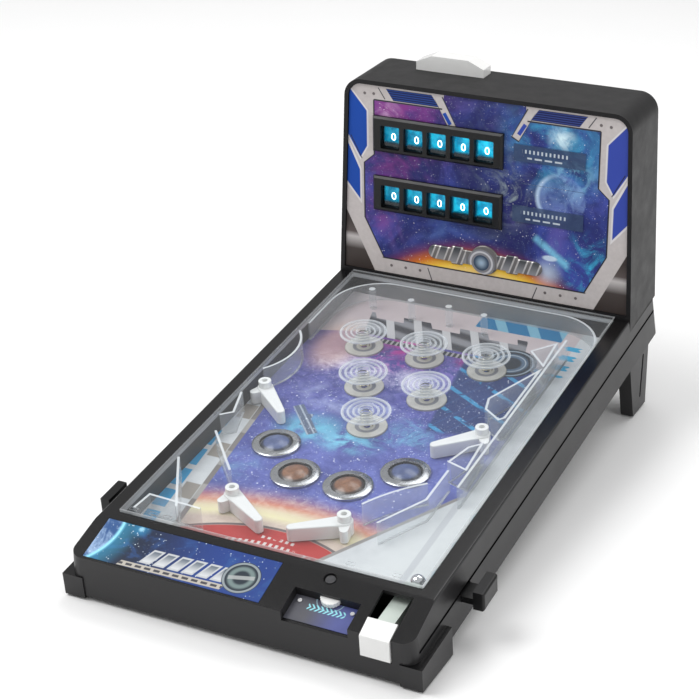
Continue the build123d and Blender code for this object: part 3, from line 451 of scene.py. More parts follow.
def headArt():
    made = Finish("headArt", Roughness=0.5, Specular_IOR_Level=0.25)
    x, u, _ = made.flat(headPlane)
    side = abs(x)
    haze = made.noise(16, 8, 0.62, 0.8)
    fine = made.noise(48, 8, 0.65, 1.2)
    cloud = made.noise(30, 8, 0.6, 0.5)
    space = made.mix(made.rise(haze, 0.38, 0.68), spaceColours["night"], spaceColours["blue"])
    space = made.lay(
        space,
        (made.rise(cloud, 0.48, 0.8) * 0.7, spaceColours["violet"]),
        (made.disc(x, u, -76, 134, 34, 34) * made.rise(haze + cloud, 0.8, 1.1), spaceColours["magenta"]),
        (made.disc(x, u, -86, 76, 28, 26) * made.rise(cloud, 0.4, 0.7), spaceColours["magenta"]),
        (made.disc(x, u, -84, 143, 9, 9) * made.rise(fine, 0.4, 0.66), (0.55, 0.30, 0.55)),
        (made.disc(x, u, -40, 60, 34, 24, 1.6) * made.rise(cloud, 0.42, 0.7) * 0.8, (0.07, 0.16, 0.42)),
        (made.disc(x, u, 62, 138, 34, 26) * made.rise(cloud, 0.4, 0.68), spaceColours["cyan"]),
        (made.disc(x, u, 65, 142, 7, 8) * made.rise(fine, 0.32, 0.55), (0.72, 0.92, 0.98)),
        (made.disc(x, u, 72, 112, 16, 14) * made.rise(fine, 0.45, 0.68), (0.25, 0.55, 0.75)),
        (made.disc(x, u, 92, 36, 22, 20) * made.rise(fine, 0.46, 0.68), spaceColours["cyan"]),
        (made.disc(x, u, 12, 104, 16, 24, 0.4) * made.rise(fine, 0.42, 0.7) * 0.8, (0.16, 0.21, 0.25)),
        (made.disc(x, u, 22, 88, 15, 14) * made.rise(fine, 0.46, 0.62) * 0.7, (0.35, 0.42, 0.42)),
    )
    planet = made.reach(x, u, *headLook["planet"]) - headLook["planetRadius"]
    shine = made.band(planet, -1.5, 1.5, 1.6) * (1 - made.rise(x, 44, 68)) * 0.75
    globe = (1 - made.rise(planet, -1, 1)) * made.rise(fine, 0.3, 0.6) * 0.45
    horizon = made.reach(x, u, *headLook["horizonCentre"]) - headLook["horizonRadius"]
    glow = made.ramp(made.slope(horizon, -34, 18, 0, 1), (0.0, (0.16, 0.10, 0.25)), (0.25, (0.92, 0.72, 0.45)),
                     (0.50, (0.96, 0.62, 0.07)), (0.66, (0.62, 0.15, 0.02)), (0.82, (0.17, 0.035, 0.10)),
                     (1.0, (0.015, 0.02, 0.09)))
    saucer = made.disc(x, u, 58, 41, 6, 1.6, 2.6)
    comet = made.stroke(x, u, (45, 57), (74, 36), 5.5, 2.4)
    space = made.lay(
        space,
        (globe, (0.24, 0.36, 0.66)),
        (shine, (0.55, 0.72, 0.92)),
        (1 - made.rise(horizon, 3, 20), glow),
        (comet * made.rise(fine, 0.3, 0.55) * 0.8, (0.22, 0.62, 0.82)),
        (saucer * 0.7, (0.75, 0.90, 0.98)),
        (made.disc(x, u, 56, 28, 8, 9) * 0.6, (0.70, 0.85, 0.98)),
        (made.stars(330, 0.16), (1.0, 1.0, 1.0)),
        (made.stars(900, 0.22) * 0.7, (0.7, 0.8, 1.0)),
    )
    brushed = made.noise(300, 3)
    worn = made.noise(22, 5)
    metal = made.mix(brushed * 0.5 + worn * 0.5, headLook["frameDark"], headLook["frameLight"])
    edge = made.slope(u, 17, 50, 88, 105) - made.slope(u, 98, 106, 0, 9)
    inside = edge - side
    roof = made.slope(side, 34, 36, 170, 152)
    window = made.rise(inside, -0.3, 0.3) * made.rise(u, 16.2, 16.8) * made.rise(roof - u, -0.3, 0.3)
    prong = made.stroke(side, u, (40, 162), (26.5, 137), 6.2)
    prongRim = made.stroke(side, u, (39, 161), (26, 136), 7.4)
    prongPane = made.stroke(side, u, (34.5, 149.5), (29.0, 140.5), 3.2)
    outline = made.rise(abs(inside), 0.9, 0.35) * made.rise(u, 16, 17) * (1 - made.rise(u, 152, 153))
    floorLine = made.rise(abs(u - 16.5), 0.9, 0.35) * (1 - made.rise(side, 88, 90))
    roofLine = made.rise(abs(u - 152.5), 0.9, 0.35) * made.band(side, 36, 96)
    upperPane = (made.rise(side, 102.0, 102.8) * made.rise((side - 103) * 1.15 + 143 - u, -0.4, 0.4)
                 * made.rise(u - abs(side - 108.5) * 1.7 - 102, -0.4, 0.4))
    lowerPane = (made.rise(side, 108.6, 109.4) * made.rise((side - 109) * 2.1 + 91 - u, -0.4, 0.4)
                 * made.rise(u - (side - 109.5) * 1.2 - 66, -0.4, 0.4))
    paneRim = (made.rise(side, 100.6, 101.4) * made.rise((side - 103) * 1.15 + 145 - u, -0.4, 0.4)
               * made.rise(u - abs(side - 108.5) * 1.7 - 99.5, -0.4, 0.4))
    lowRim = (made.rise(side, 107.2, 108.0) * made.rise((side - 109) * 2.1 + 95 - u, -0.4, 0.4)
              * made.rise(u - (side - 109.5) * 1.2 - 63.5, -0.4, 0.4))
    strip = made.band(side - (u - 154) * 0.7, 39, 79, 0.3) * made.band(u, 153.6, 163)
    lines = made.rise(u.wrap(0.9), 0.3, 0.6)
    corner = made.rise((side - 119) * 2.0 + 49 - u, -0.4, 0.4)
    sheen = made.ramp(made.slope(u, 2, 46, 0, 1), (0.0, (0.035, 0.025, 0.022)), (0.42, (0.06, 0.048, 0.044)),
                      (0.66, (0.52, 0.49, 0.48)), (0.76, (0.10, 0.08, 0.075)), (1.0, (0.05, 0.038, 0.035)))
    seam = made.stroke(side, u, (107, 101), (117, 120), 0.8).most(made.stroke(side, u, (86, 154), (92, 163), 0.8))
    seam = seam.most(made.stroke(side, u, (44, 3), (48, 14), 0.8))
    rivets = 0
    for place in headLook["rivets"]:
        rivets = made.disc(side, u, *place, headLook["rivetRadius"], 0.3) + rivets
    darkSide = made.rise(x, -60, 60)
    blue = made.mix(darkSide, (0.002, 0.06, 0.37), (0.035, 0.065, 0.37))
    stripBlue = made.mix(darkSide, (0.012, 0.05, 0.25), (0.03, 0.05, 0.22))
    low, high = headLook["plaqueLevels"]
    row = made.rise(u, (low + high) / 2 - 1, (low + high) / 2 + 1)
    across = u - (row * (high - low) + low)
    plaque = made.band(x, headLook["plaqueLeft"], headLook["plaqueRight"]) * (
        1 - made.rise(abs(across), headLook["plaqueHalf"] - 0.2, headLook["plaqueHalf"] + 0.2))
    ticks = made.rise(x.wrap(1.7), 0.9, 1.1) * made.band(x, 33, 71)
    ticks = ticks * made.band(abs(across - 1.6), -1, 1.5, 0.2)
    bars = made.rise(x.wrap(4.2), 1.0, 1.3) * made.band(x, 37, 66)
    bars = bars * made.band(abs(across + 3.6), -1, 0.7, 0.2)
    slate = made.mix(fine, (0.012, 0.022, 0.06), (0.06, 0.10, 0.20))
    colour = made.lay(
        metal,
        (window, space),
        (prongRim, (0.03, 0.03, 0.035)),
        (prong, metal),
        (prongPane, blue),
        (strip, made.mix(lines, stripBlue, (0.006, 0.01, 0.06))),
        (paneRim.most(lowRim), (0.68, 0.66, 0.66)),
        (upperPane.most(lowerPane), blue),
        (corner, sheen),
        (outline.most(floorLine).most(roofLine).most(seam), (0.02, 0.02, 0.03)),
        (rivets.least(1), (0.14, 0.12, 0.12)),
        (plaque * 0.9, slate),
        ((ticks + bars).least(1) * plaque, (0.50, 0.56, 0.62)),
    )
    made.feed("Base Color", colour)
    return made.bump(brushed + outline * -2, 0.06, 0.0002).material


playfieldLook = {"horizonCentre": (-12, -108), "horizonRadius": 216, "redEdge": 88, "ringAt": (52, 352),
                 "redDark": (0.42, 0.022, 0.022), "redLight": (0.56, 0.07, 0.06), "tilePitch": 13.5,
                 "tileBlue": (0.01, 0.30, 0.58), "laneFrom": 90, "laneLight": (0.76, 0.78, 0.78)}


def playfieldArt():
    made = Finish("playfieldArt", Roughness=0.45, Specular_IOR_Level=0.3)
    x, s, _ = made.flat(deckPlane)
    haze = made.noise(13, 8, 0.6, 0.9)
    fine = made.noise(42, 8, 0.65, 1.3)
    cloud = made.noise(24, 8, 0.62, 0.5)
    deep = made.rise(s, 190, 330)
    grit = made.noise(95, 9, 0.72, 1.6)
    space = made.mix(made.rise(haze * 0.6 + grit * 0.4, 0.36, 0.66), (0.055, 0.065, 0.27), (0.15, 0.18, 0.52))
    violet = made.mix(made.rise(grit, 0.4, 0.62), (0.045, 0.035, 0.20), (0.17, 0.13, 0.46))
    wisps = made.rise(cloud * 0.6 + grit * 0.4, 0.42, 0.6)
    space = made.mix(deep * 0.5, space, violet)
    space = made.lay(
        space,
        (made.disc(x, s, -58, 338, 40, 34, 1.2) * made.rise(haze + cloud, 0.78, 1.05), (0.15, 0.05, 0.28)),
        (made.disc(x, s, -78, 330, 24, 22) * made.rise(fine, 0.4, 0.6), (0.05, 0.05, 0.30)),
        (made.disc(x, s, -22, 322, 22, 18) * made.rise(fine, 0.4, 0.6), (0.05, 0.045, 0.26)),
        (made.disc(x, s, -40, 330, 34, 24, 1.3) * made.rise(grit, 0.46, 0.6) * 0.8, (0.36, 0.06, 0.36)),
        (made.disc(x, s, -36, 348, 14, 14) * made.rise(fine, 0.36, 0.55), (0.52, 0.03, 0.26)),
        (made.disc(x, s, 26, 344, 13, 12) * made.rise(fine, 0.38, 0.58), (0.42, 0.03, 0.24)),
        (made.disc(x, s, -66, 306, 30, 16, 1.7) * wisps, spaceColours["cloud"]),
        (made.disc(x, s, -10, 300, 26, 16, 2.0) * wisps * 0.9, spaceColours["cloud"]),
        (made.disc(x, s, 38, 318, 20, 18, 1.2) * made.rise(grit, 0.42, 0.6) * 0.7, (0.42, 0.22, 0.62)),
        (made.disc(x, s, -40, 258, 44, 22, 2.6) * made.rise(cloud, 0.42, 0.66) * 0.75, (0.45, 0.50, 0.72)),
        (made.disc(x, s, -52, 212, 19, 18, 1.3) * made.rise(cloud, 0.34, 0.6), (0.16, 0.56, 0.72)),
        (made.disc(x, s, -20, 206, 20, 16, 1.6) * made.rise(fine, 0.36, 0.62), (0.20, 0.58, 0.76)),
        (made.disc(x, s, 20, 230, 16, 16) * made.rise(fine, 0.42, 0.68), (0.18, 0.50, 0.70)),
        (made.disc(x, s, -84, 150, 14, 16) * made.rise(fine, 0.42, 0.68) * 0.6, (0.18, 0.40, 0.60)),
    )
    # a dark hull at the upper right, with lit strips
    hull = made.rise(x + s * 0.12, 56, 60) * made.rise(s - x * 0.15, 232, 240)
    hull = hull.most(made.disc(x, s, 66, 318, 44, 2)) * (1 - made.rise(s, 352, 356))
    strips = made.rise((x * 0.5 + s * 0.87).wrap(11), 8.8, 9.4) * made.rise(fine, 0.42, 0.5)
    ribs = made.rise((x * 0.9 - s * 0.42).wrap(7), 6.1, 6.6)
    hullColour = made.lay(
        made.mix(cloud, (0.012, 0.025, 0.11), (0.04, 0.075, 0.24)),
        (ribs * 0.5, (0.04, 0.09, 0.26)),
        (strips * 0.8, (0.05, 0.34, 0.62)),
    )
    ship = made.stroke(x, s, (-76, 238), (-48, 206), 8.5, 0.8)
    ship = ship.most(made.stroke(x, s, (-62, 230), (-60, 214), 6, 0.8))
    shipPlates = made.rise((x + s * 0.9).wrap(3.4), 2.2, 2.8)
    # warm horizon band in front, brightest along its crest
    horizon = made.reach(x, s, *playfieldLook["horizonCentre"]) - playfieldLook["horizonRadius"]
    sky = made.ramp(made.slope(horizon, -26, 30, 0, 1), (0.0, (0.62, 0.50, 0.44)), (0.22, (0.58, 0.47, 0.40)),
                    (0.36, (0.78, 0.72, 0.44)), (0.47, (0.72, 0.62, 0.42)), (0.60, (0.60, 0.22, 0.15)),
                    (0.78, (0.26, 0.13, 0.26)), (1.0, (0.13, 0.13, 0.38)))
    warmSky = made.mix(made.rise(grit, 0.35, 0.7) * 0.35, sky, (0.86, 0.74, 0.62))
    crest = s + (x + 12) * (x + 12) * 0.0045
    redEdge = playfieldLook["redEdge"]
    redPanel = (1 - made.rise(crest, redEdge, redEdge + 1)) * made.band(x, -82, 58)
    redRim = made.rise(abs(crest - redEdge - 2), 1.5, 1.0) * made.band(x, -84, 60)
    caption = made.rise(x.wrap(2.3), 1.0, 1.3) * made.rise(fine, 0.4, 0.45)
    captionRows = made.band(crest, 77.5, 80.5, 0.3) * made.band(x, -24, 4)
    captionRows = captionRows.most(made.band(crest, 70, 73.5, 0.3) * made.band(x, -48, 32))
    # metallic badge across the back
    top = made.rise(s + (x + 10) * (x + 10) * 0.0016, 362, 364)
    slant = x + s * 0.5
    bars = made.rise(slant.wrap(12.5), 3.2, 4.0)
    brushed = made.noise(260, 3)
    glint = made.rise((s + x * 0.2).wrap(9), 2, 7)
    plate = made.mix(glint, (0.05, 0.05, 0.06), (0.26, 0.26, 0.28))
    badge = made.mix(bars, (0.58, 0.57, 0.58), plate)
    badgeShape = made.band(x + s * 0.25, 12, 150) * made.band(s, 354, 388)
    badgeShape = badgeShape * (1 - made.rise(s - 388 + made.rise(slant.wrap(25), 12, 13) * 8, -0.4, 0.4))
    badgeRule = made.band(s, 345, 351, 0.4) * made.band(x + s * 0.25, 6, 158)
    ruleMarks = made.rise(x.wrap(2.2), 0.8, 1.1)
    ringAt = made.reach(x, s, *playfieldLook["ringAt"])
    blueStrip = made.rise(s, 395, 396) * made.band(x, 4, 78)
    stripMarks = made.rise((x + s * 0.6).wrap(14), 9, 9.6)
    arrowStep = (s - 352).wrap(7.5)
    arrows = made.rise(arrowStep, 3.4, 3.9) * made.band(x + abs(arrowStep - 5) * 1.3, 86, 98)
    arrows = arrows * made.band(s, 345, 392)
    # side panels
    slopeIn = x + (s - 60) * 0.1
    leftPanel = (1 - made.rise(slopeIn, -84.4, -83.6)) * (1 - made.rise(s, 236, 240))
    leftRim = made.band(slopeIn, -86.6, -82.4) * (1 - made.rise(s, 234, 238))
    rimShade = made.mix(made.rise(s.wrap(22), 12, 13), (0.20, 0.18, 0.17), (0.36, 0.34, 0.32))
    tiles = made.rise(s.wrap(playfieldLook["tilePitch"]), 2.6, 3.2) * made.band(slopeIn, -112, -101)
    tan = (1 - made.rise(s.wrap(27), 9, 10)) * made.band(slopeIn, -99, -87)
    lane = made.rise(x, playfieldLook["laneFrom"], playfieldLook["laneFrom"] + 1)
    wedge = made.rise(x * 1.05 - s * 0.62, -14, -13) * (1 - made.rise(s, 170, 175))
    wedgeShade = made.rise(x - s * 0.35, 10, 55)
    dashes = made.rise(s.wrap(17), 11.5, 12.2) * made.band(x + s.wrap(17) * 0.3, 108.5, 112)
    steel = made.mix(made.noise(120, 4), (0.50, 0.52, 0.54), (0.70, 0.71, 0.72))
    colour = made.lay(
        space,
        (hull, hullColour),
        (ship, made.mix(shipPlates, (0.10, 0.13, 0.20), (0.34, 0.39, 0.46))),
        (made.stars(230, 0.2), (0.9, 0.93, 1.0)),
        (made.stars(520, 0.26) * 0.9, (0.75, 0.83, 1.0)),
        (1 - made.rise(horizon, 12, 30), warmSky),
        (redRim, (0.16, 0.13, 0.13)),
        (redPanel, made.mix(haze * 0.6, playfieldLook["redDark"], playfieldLook["redLight"])),
        (redPanel * captionRows * caption, (0.70, 0.62, 0.60)),
        (top, made.mix(cloud, (0.48, 0.40, 0.42), (0.66, 0.58, 0.58))),
        (made.disc(x, s, -88, 330, 20, 10, 0.6) * 0.6, (0.60, 0.36, 0.26)),
        (badgeShape, badge),
        (badgeRule, made.mix(ruleMarks, (0.42, 0.40, 0.40), (0.05, 0.05, 0.055))),
        (made.disc(x, s, *playfieldLook["ringAt"], 21), (0.02, 0.03, 0.045)),
        (made.band(ringAt, 17.4, 19, 0.4), (0.30, 0.36, 0.42)),
        (made.band(ringAt, 9, 14, 1.2), (0.10, 0.16, 0.24)),
        (made.band(ringAt, 11.8, 12.6, 0.3), (0.45, 0.50, 0.55)),
        (blueStrip, made.mix(stripMarks, (0.01, 0.17, 0.36), (0.20, 0.44, 0.58))),
        (leftPanel, steel),
        (leftPanel * tan, (0.30, 0.27, 0.24)),
        (leftPanel * tiles, playfieldLook["tileBlue"]),
        (leftRim, rimShade),
        (wedge.most(lane), made.mix(wedgeShade * 0.6, steel, playfieldLook["laneLight"])),
        (made.rise(abs(x * 1.05 - s * 0.62 + 14), 2.4, 1.4) * (1 - made.rise(s, 168, 172)), (0.30, 0.28, 0.27)),
        (dashes * lane, (0.02, 0.36, 0.56)),
        (arrows, (0.02, 0.36, 0.60)),
        (made.band(x, 86.5, 91.5, 0.6) * (1 - made.rise(s, 372, 374)) * 0.5, (0.45, 0.46, 0.50)),
    )
    made.feed("Base Color", colour)
    return made.bump(fine + brushed * 0.4, 0.02, 0.0002).material


apronLook = {"planet": (-147, 6), "planetRadius": 43, "star": (-90, 12), "ring": (-3, -6), "panePitch": 10.8,
             "lean": 0.45, "tilt": 0.02}


def apronArt():
    made = Finish("apronLabelArt", Roughness=0.35, Specular_IOR_Level=0.35)
    x, a, _ = made.flat(apronPlane)
    fine = made.noise(60, 8, 0.62, 1.0)
    base = made.mix(made.rise(x, -90, -20), (0.002, 0.010, 0.035), (0.008, 0.040, 0.22))
    base = made.mix(made.rise(fine, 0.45, 0.7) * 0.6, base, (0.02, 0.09, 0.30))
    planet = made.reach(x, a, *apronLook["planet"]) - apronLook["planetRadius"]
    globe = made.mix(made.rise(fine, 0.4, 0.62), (0.02, 0.08, 0.24), (0.30, 0.44, 0.66))
    spark = made.reach(x, a, *apronLook["star"])
    ringAt = made.reach(x, a, *apronLook["ring"])
    level = a - x * apronLook["tilt"]
    slant = x - a * apronLook["lean"]
    row = made.band(level, -13.5, -0.5, 0.3) * made.band(slant, -72, -8, 0.3)
    step = (slant + 72).wrap(apronLook["panePitch"])
    block = made.band(step, 1.2, 9.8, 0.2)
    inner = made.band(step, 2.6, 8.4, 0.2) * made.band(level, -12.0, -2.0, 0.2)
    sheen = made.mix(made.rise(level, -13, -1), (0.62, 0.64, 0.66), (0.10, 0.13, 0.17))
    rule = made.band(level, -19.4, -15.0, 0.25) * made.band(slant, -82, -4, 0.3)
    marks = made.rise(x.wrap(3.6), 1.0, 1.4) * made.band(level, -18.2, -16.2, 0.2)
    colour = made.lay(
        base,
        (1 - made.rise(planet, -1, 0.5), globe),
        (made.band(planet, -1.5, 1, 1.4), (0.30, 0.75, 0.95)),
        ((1 - made.rise(planet, 1, 19)) * made.rise(planet, 0, 1) * 0.5, (0.03, 0.30, 0.50)),
        (1 - made.rise(spark, 0.8, 3.0), (0.55, 0.90, 1.0)),
        ((1 - made.rise(spark, 2.0, 9.0)) * 0.5, (0.02, 0.26, 0.50)),
        (made.stars(420, 0.24), (0.75, 0.88, 1.0)),
        (row * block, (0.50, 0.52, 0.54)),
        (row * inner, sheen),
        (rule, (0.46, 0.43, 0.38)),
        (rule * marks, (0.05, 0.05, 0.06)),
        (made.disc(x, a, *apronLook["ring"], 13.5), (0.012, 0.022, 0.035)),
        (made.band(ringAt, 11.4, 13.0, 0.3), (0.26, 0.30, 0.32)),
        (made.band(ringAt, 6, 9.4, 1.2), (0.16, 0.22, 0.22)),
        (made.stroke(x, a, (-12, -8), (6, -4), 3.2) * 0.8, (0.40, 0.42, 0.42)),
    )
    made.feed("Base Color", colour)
    return made.bump(fine, 0.02, 0.0002).material


def dialArt():
    made = Finish("dialArt", Roughness=0.35, Specular_IOR_Level=0.35)
    x, a, _ = made.flat(apronPlane)
    across = x - wheel.x * 1000
    cloud = made.noise(90, 6)
    base = made.mix(made.rise(across, -14, 16), (0.10, 0.10, 0.11), (0.10, 0.12, 0.36))
    base = made.mix(cloud * 0.5, base, (0.03, 0.035, 0.07))
    ring = made.reach(across, a, 0, 0)
    arrow = (across + abs(a + 9.6) * 0.9).wrap(3.2)
    marks = made.rise(abs(arrow - 1.6), 0.95, 0.45) * made.band(a, -12.2, -7.0) * made.band(across, -13, 14)
    made.feed("Base Color", made.lay(
        base,
        (made.band(ring, 9.6, 10.3, 0.2) * 0.7, (0.35, 0.55, 0.62)),
        (marks, (0.30, 0.72, 0.80)),
    ))
    return made.bump(cloud, 0.02, 0.0002).material


reelGlow = {"strength": 1.6, "dim": 0.35, "deep": (0.0, 0.16, 0.30), "bright": (0.015, 0.46, 0.66)}


def reelFinish():    # lit reels, brighter towards the right
    made = Finish("reelFinish", Roughness=0.4, Emission_Strength=reelGlow["strength"])
    x, _, _ = made.flat(headPlane)
    cloud = made.noise(140, 4)
    bright = made.slope(x, -95, 10, reelGlow["dim"], 1.0)
    glow = made.mix(made.rise(cloud, 0.3, 0.7), reelGlow["deep"], reelGlow["bright"])
    made.feed("Base Color", glow)
    made.feed("Emission Color", made.mix(bright, (0.0, 0.02, 0.05), glow))
    return made.material


def emblemFinish():
    made = Finish("emblemMetal", Metallic=0.6, Roughness=0.4)
    x, u, _ = made.flat(headPlane)
    brushed = made.noise(320, 4)
    step = (x - u * 0.35 + 120).wrap(11.5)
    slats = made.band(step, 1.4, 10.2, 0.2) * made.rise(abs(x), 13, 14)
    rim = made.band(step, 2.8, 8.8, 0.2) * made.rise(abs(x), 13, 14) * made.rise(u, 23.5, 24)
    dark = made.mix(made.rise(u, 20, 38), (0.42, 0.42, 0.42), (0.07, 0.075, 0.08))
    ring = made.reach(x, u, 0, 27.5)
    made.feed("Base Color", made.lay(
        made.mix(brushed, (0.50, 0.48, 0.45), (0.72, 0.70, 0.67)),
        (1 - slats, (0.20, 0.19, 0.18)),
        (rim, dark),
        (made.rise(abs(u - 22.4), 0.8, 0.4), (0.12, 0.11, 0.10)),
        (1 - made.rise(ring, 11.4, 12), (0.30, 0.30, 0.31)),
        (made.band(ring, 8.6, 10.2, 0.2), (0.70, 0.70, 0.70)),
        (1 - made.rise(ring, 6.4, 7), made.mix(made.rise(ring, 0, 7), (0.45, 0.60, 0.70), (0.04, 0.07, 0.12))),
    ))
    return made.bump(brushed + slats, 0.15, 0.0003).material


def digitFinish():
    # painted glow: the white figures emit light of their own, standing in for the lamp that lights the reels
    made = Finish("digitFinish", Roughness=0.4, Emission_Strength=3.5)
    grain = made.noise(600, 2)
    made.feed("Base Color", made.mix(grain, (0.82, 0.90, 0.92), (0.95, 0.98, 0.98)))
    made.feed("Emission Color", made.mix(grain, (0.55, 0.80, 0.85), (0.80, 0.95, 0.98)))
    return made.material


windowLook = {"rowLevel": 72.2, "rowGap": 51, "cell": 10.2, "firstCell": -80.2}


def windowFinish():    # clear over the figures, with painted shade round them: a dark sheet above, below and beside each cell, where the bezel shades the reels
    made = Finish("scoreLensPaintedShade", Roughness=0.06)
    x, u, _ = made.flat(headPlane)
    upper = made.rise(u, 95, 96)
    level = u - (upper * windowLook["rowGap"] + windowLook["rowLevel"])
    # painted shade: darker below the figures, less so above them, and at each cell's sides
    shade = made.rise(-level, 3.2, 6.8) * 0.85 + made.rise(level, 7.2, 9.6) * 0.5 + 0.05
    cell = abs((x - windowLook["firstCell"] + windowLook["cell"]).wrap(windowLook["cell"]) - windowLook["cell"])
    side = made.rise(cell, 5.2, 8.2) * 0.75
    shadeSmudge = made.noise(200, 4)
    made.feed("Base Color", made.mix(shadeSmudge, (0.002, 0.004, 0.006), (0.006, 0.010, 0.014)))
    made.feed("Alpha", shade.most(side))
    return made.material


def circuitFinish():
    made = Finish("circuitGreen", Roughness=0.35)
    tracks = made.node("TexBrick", {}, {"Vector": made.spot(), "Scale": 130.0, "Color1": (0.01, 0.13, 0.05),
                                        "Color2": (0.012, 0.16, 0.06), "Mortar": (0.05, 0.30, 0.12)})
    made.feed("Base Color", tracks)
    return made.bump(made.noise(500), 0.1).material


def batteryFinish():
    made = Finish("batteryJacket", Roughness=0.3, Metallic=0.4)
    x, _, _ = made.flat(deckPlane)
    cap = made.rise((x + 101).wrap(25.3), 17, 17.6)
    made.feed("Base Color", made.lay(made.mix(made.noise(80), (0.012, 0.012, 0.014), (0.03, 0.03, 0.035)),
                                     (cap, (0.55, 0.34, 0.10))))
    return made.bump(made.noise(700), 0.03).material


charcoal = bodyPlastic()
white = tintedPlastic("whiteGloss", (0.78, 0.78, 0.77), (0.86, 0.86, 0.85), 0.22, Coat_Weight=0.3,
                      Subsurface_Weight=0.15, Subsurface_Radius=(0.004, 0.004, 0.004))
pale = tintedPlastic("paleShank", (0.50, 0.57, 0.52), (0.60, 0.66, 0.61), 0.3)
black = tintedPlastic("blackGloss", (0.003, 0.003, 0.003), (0.008, 0.008, 0.009), 0.34, Specular_IOR_Level=0.3)
headBlack = tintedPlastic("headPlastic", (0.006, 0.0057, 0.006), (0.016, 0.0155, 0.0165), 0.42, 2600, 0.12,
                          Specular_IOR_Level=0.22)
rubber = tintedPlastic("padRubber", (0.015, 0.015, 0.015), (0.04, 0.04, 0.04), 0.75, 1500, 0.3)
clear = clearPlastic("clearGuide", 0.10, 0.5)
coverClear = clearPlastic("clearCover", 0.004, 0.30, "cover")
capClear = clearPlastic("clearCap", 0.012, 0.34, "rings")
contact = plateFinish()
springWire = metalFinish("springWire", (0.50, 0.44, 0.30), (0.72, 0.66, 0.50), 0.25)
chrome = ringFinish()
digits = digitFinish()
ballSteel = metalFinish("ballSteel", (0.72, 0.72, 0.74), (0.84, 0.84, 0.86), 0.06, 300, 0.01)
screwSteel = screwFinish()
emblemMetal = emblemFinish()
# the first colour of each lens is its painted edge shade
blueLens = lensFinish("blueLens", (0.010, 0.015, 0.035), (0.045, 0.070, 0.19), (0.085, 0.12, 0.27))
amberLens = lensFinish("amberLens", (0.030, 0.012, 0.007), (0.17, 0.065, 0.026), (0.27, 0.115, 0.05))
cone = tintedPlastic("speakerCone", (0.01, 0.01, 0.01), (0.03, 0.03, 0.03), 0.8, 2000, 0.5)

finishes = {
    "playfield_board": playfieldArt(), "playfield_cover": coverClear, "arch_rail": clear, "side_guides": clear,
    "inlane_guides": clear, "lane_posts": clear, "bumper_caps": capClear, "contact_plates": contact,
    "contact_springs": springWire, "lamp_rings": chrome, "lamps_blue": blueLens, "lamps_amber": amberLens,
    "flipper_button_left": black, "flipper_button_right": black, "push_bar_left": pale, "push_bar_right": pale,
    "button_spring_left": springWire, "button_spring_right": springWire, "launch_knob": white,
    "plunger_rod": pale, "plunger_spring": springWire, "game_ball": ballSteel, "apron_label": apronArt(),
    "dial_plate": dialArt(), "counter_wheel": white, "head_panel": headArt(), "score_windows": windowFinish(),
    "title_emblem": emblemMetal, "reel_axles": springWire, "reset_bar": white, "reset_springs": springWire,
    "speaker": cone, "main_board": circuitFinish(), "battery_cells": batteryFinish(), "power_switch": black,
    "case_screws": screwSteel, "foot_pads": rubber, "flipper_upper_left": white, "flipper_lower_left": white,
    "flipper_upper_right": white, "flipper_lower_right": white, "score_bezel_upper": black,
    "score_bezel_lower": black, "head_shell": headBlack,
}
reelLook = reelFinish()
for name, node in nodes.items():
    look = reelLook if name.startswith("score_reel") else finishes.get(name, charcoal)
    node.data.materials.clear()
    node.data.materials.append(look)
print("finishes made")


# Pieces made here, in place of plainer ones or added to them.

def begin():
    bpy.ops.object.select_all(action="DESELECT")


def settle(piece, plane, x, y, z=0.0):    # puts a piece modelled at the origin where the plane says
    piece.data.transform(planeMatrix(plane, x, y, z))
    piece.matrix_world = Matrix.Identity(4)
    return piece


def joined(pieces, name, finish):
    begin()
    for piece in pieces:
        piece.select_set(True)
    bpy.context.view_layer.objects.active = pieces[0]
    bpy.ops.object.join()
    whole = bpy.context.object
    whole.name = name
    whole.data.name = name
    whole.data.materials.clear()
    whole.data.materials.append(finish)
    begin()
    return whole


def roundBlank(radius, depth, sides, height=0.0):    # its top lies at that height, with the face selected
    begin()
    bpy.ops.mesh.primitive_cylinder_add(vertices=sides, radius=radius, depth=depth,
                                        location=(0, 0, height - depth / 2))
    blank = bpy.context.object
    bpy.ops.object.transform_apply(location=True, rotation=True, scale=True)
    bpy.ops.object.mode_set(mode="EDIT")
    bpy.ops.mesh.select_mode(type="FACE")
    bpy.ops.mesh.select_all(action="DESELECT")
    bpy.ops.object.mode_set(mode="OBJECT")
    for face in blank.data.polygons:
        face.select = face.normal.z > 0.9 and len(face.vertices) == sides
    bpy.ops.object.mode_set(mode="EDIT")
    return blank


def copied(model, plane, x, y, z):
    piece = model.copy()
    piece.data = model.data.copy()
    bpy.context.scene.collection.objects.link(piece)
    return settle(piece, plane, x, y, z)


smoothing = 35    # degrees


def smoothed(whole):
    whole.select_set(True)
    bpy.context.view_layer.objects.active = whole
    bpy.ops.object.shade_smooth_by_angle(angle=math.radians(smoothing))
    begin()


capLook = {"radius": 0.019, "thick": 0.0011, "rings": 6, "ridge": 0.00062, "wide": 0.0011, "gap": 0.0017,
           "postRadius": 0.0026, "postBevel": 0.0003, "postSides": 20, "sink": 0.002, "knob": 0.0014,
           "knobGap": 0.0008, "flank": 0.35, "crest": 0.5, "sides": 56}


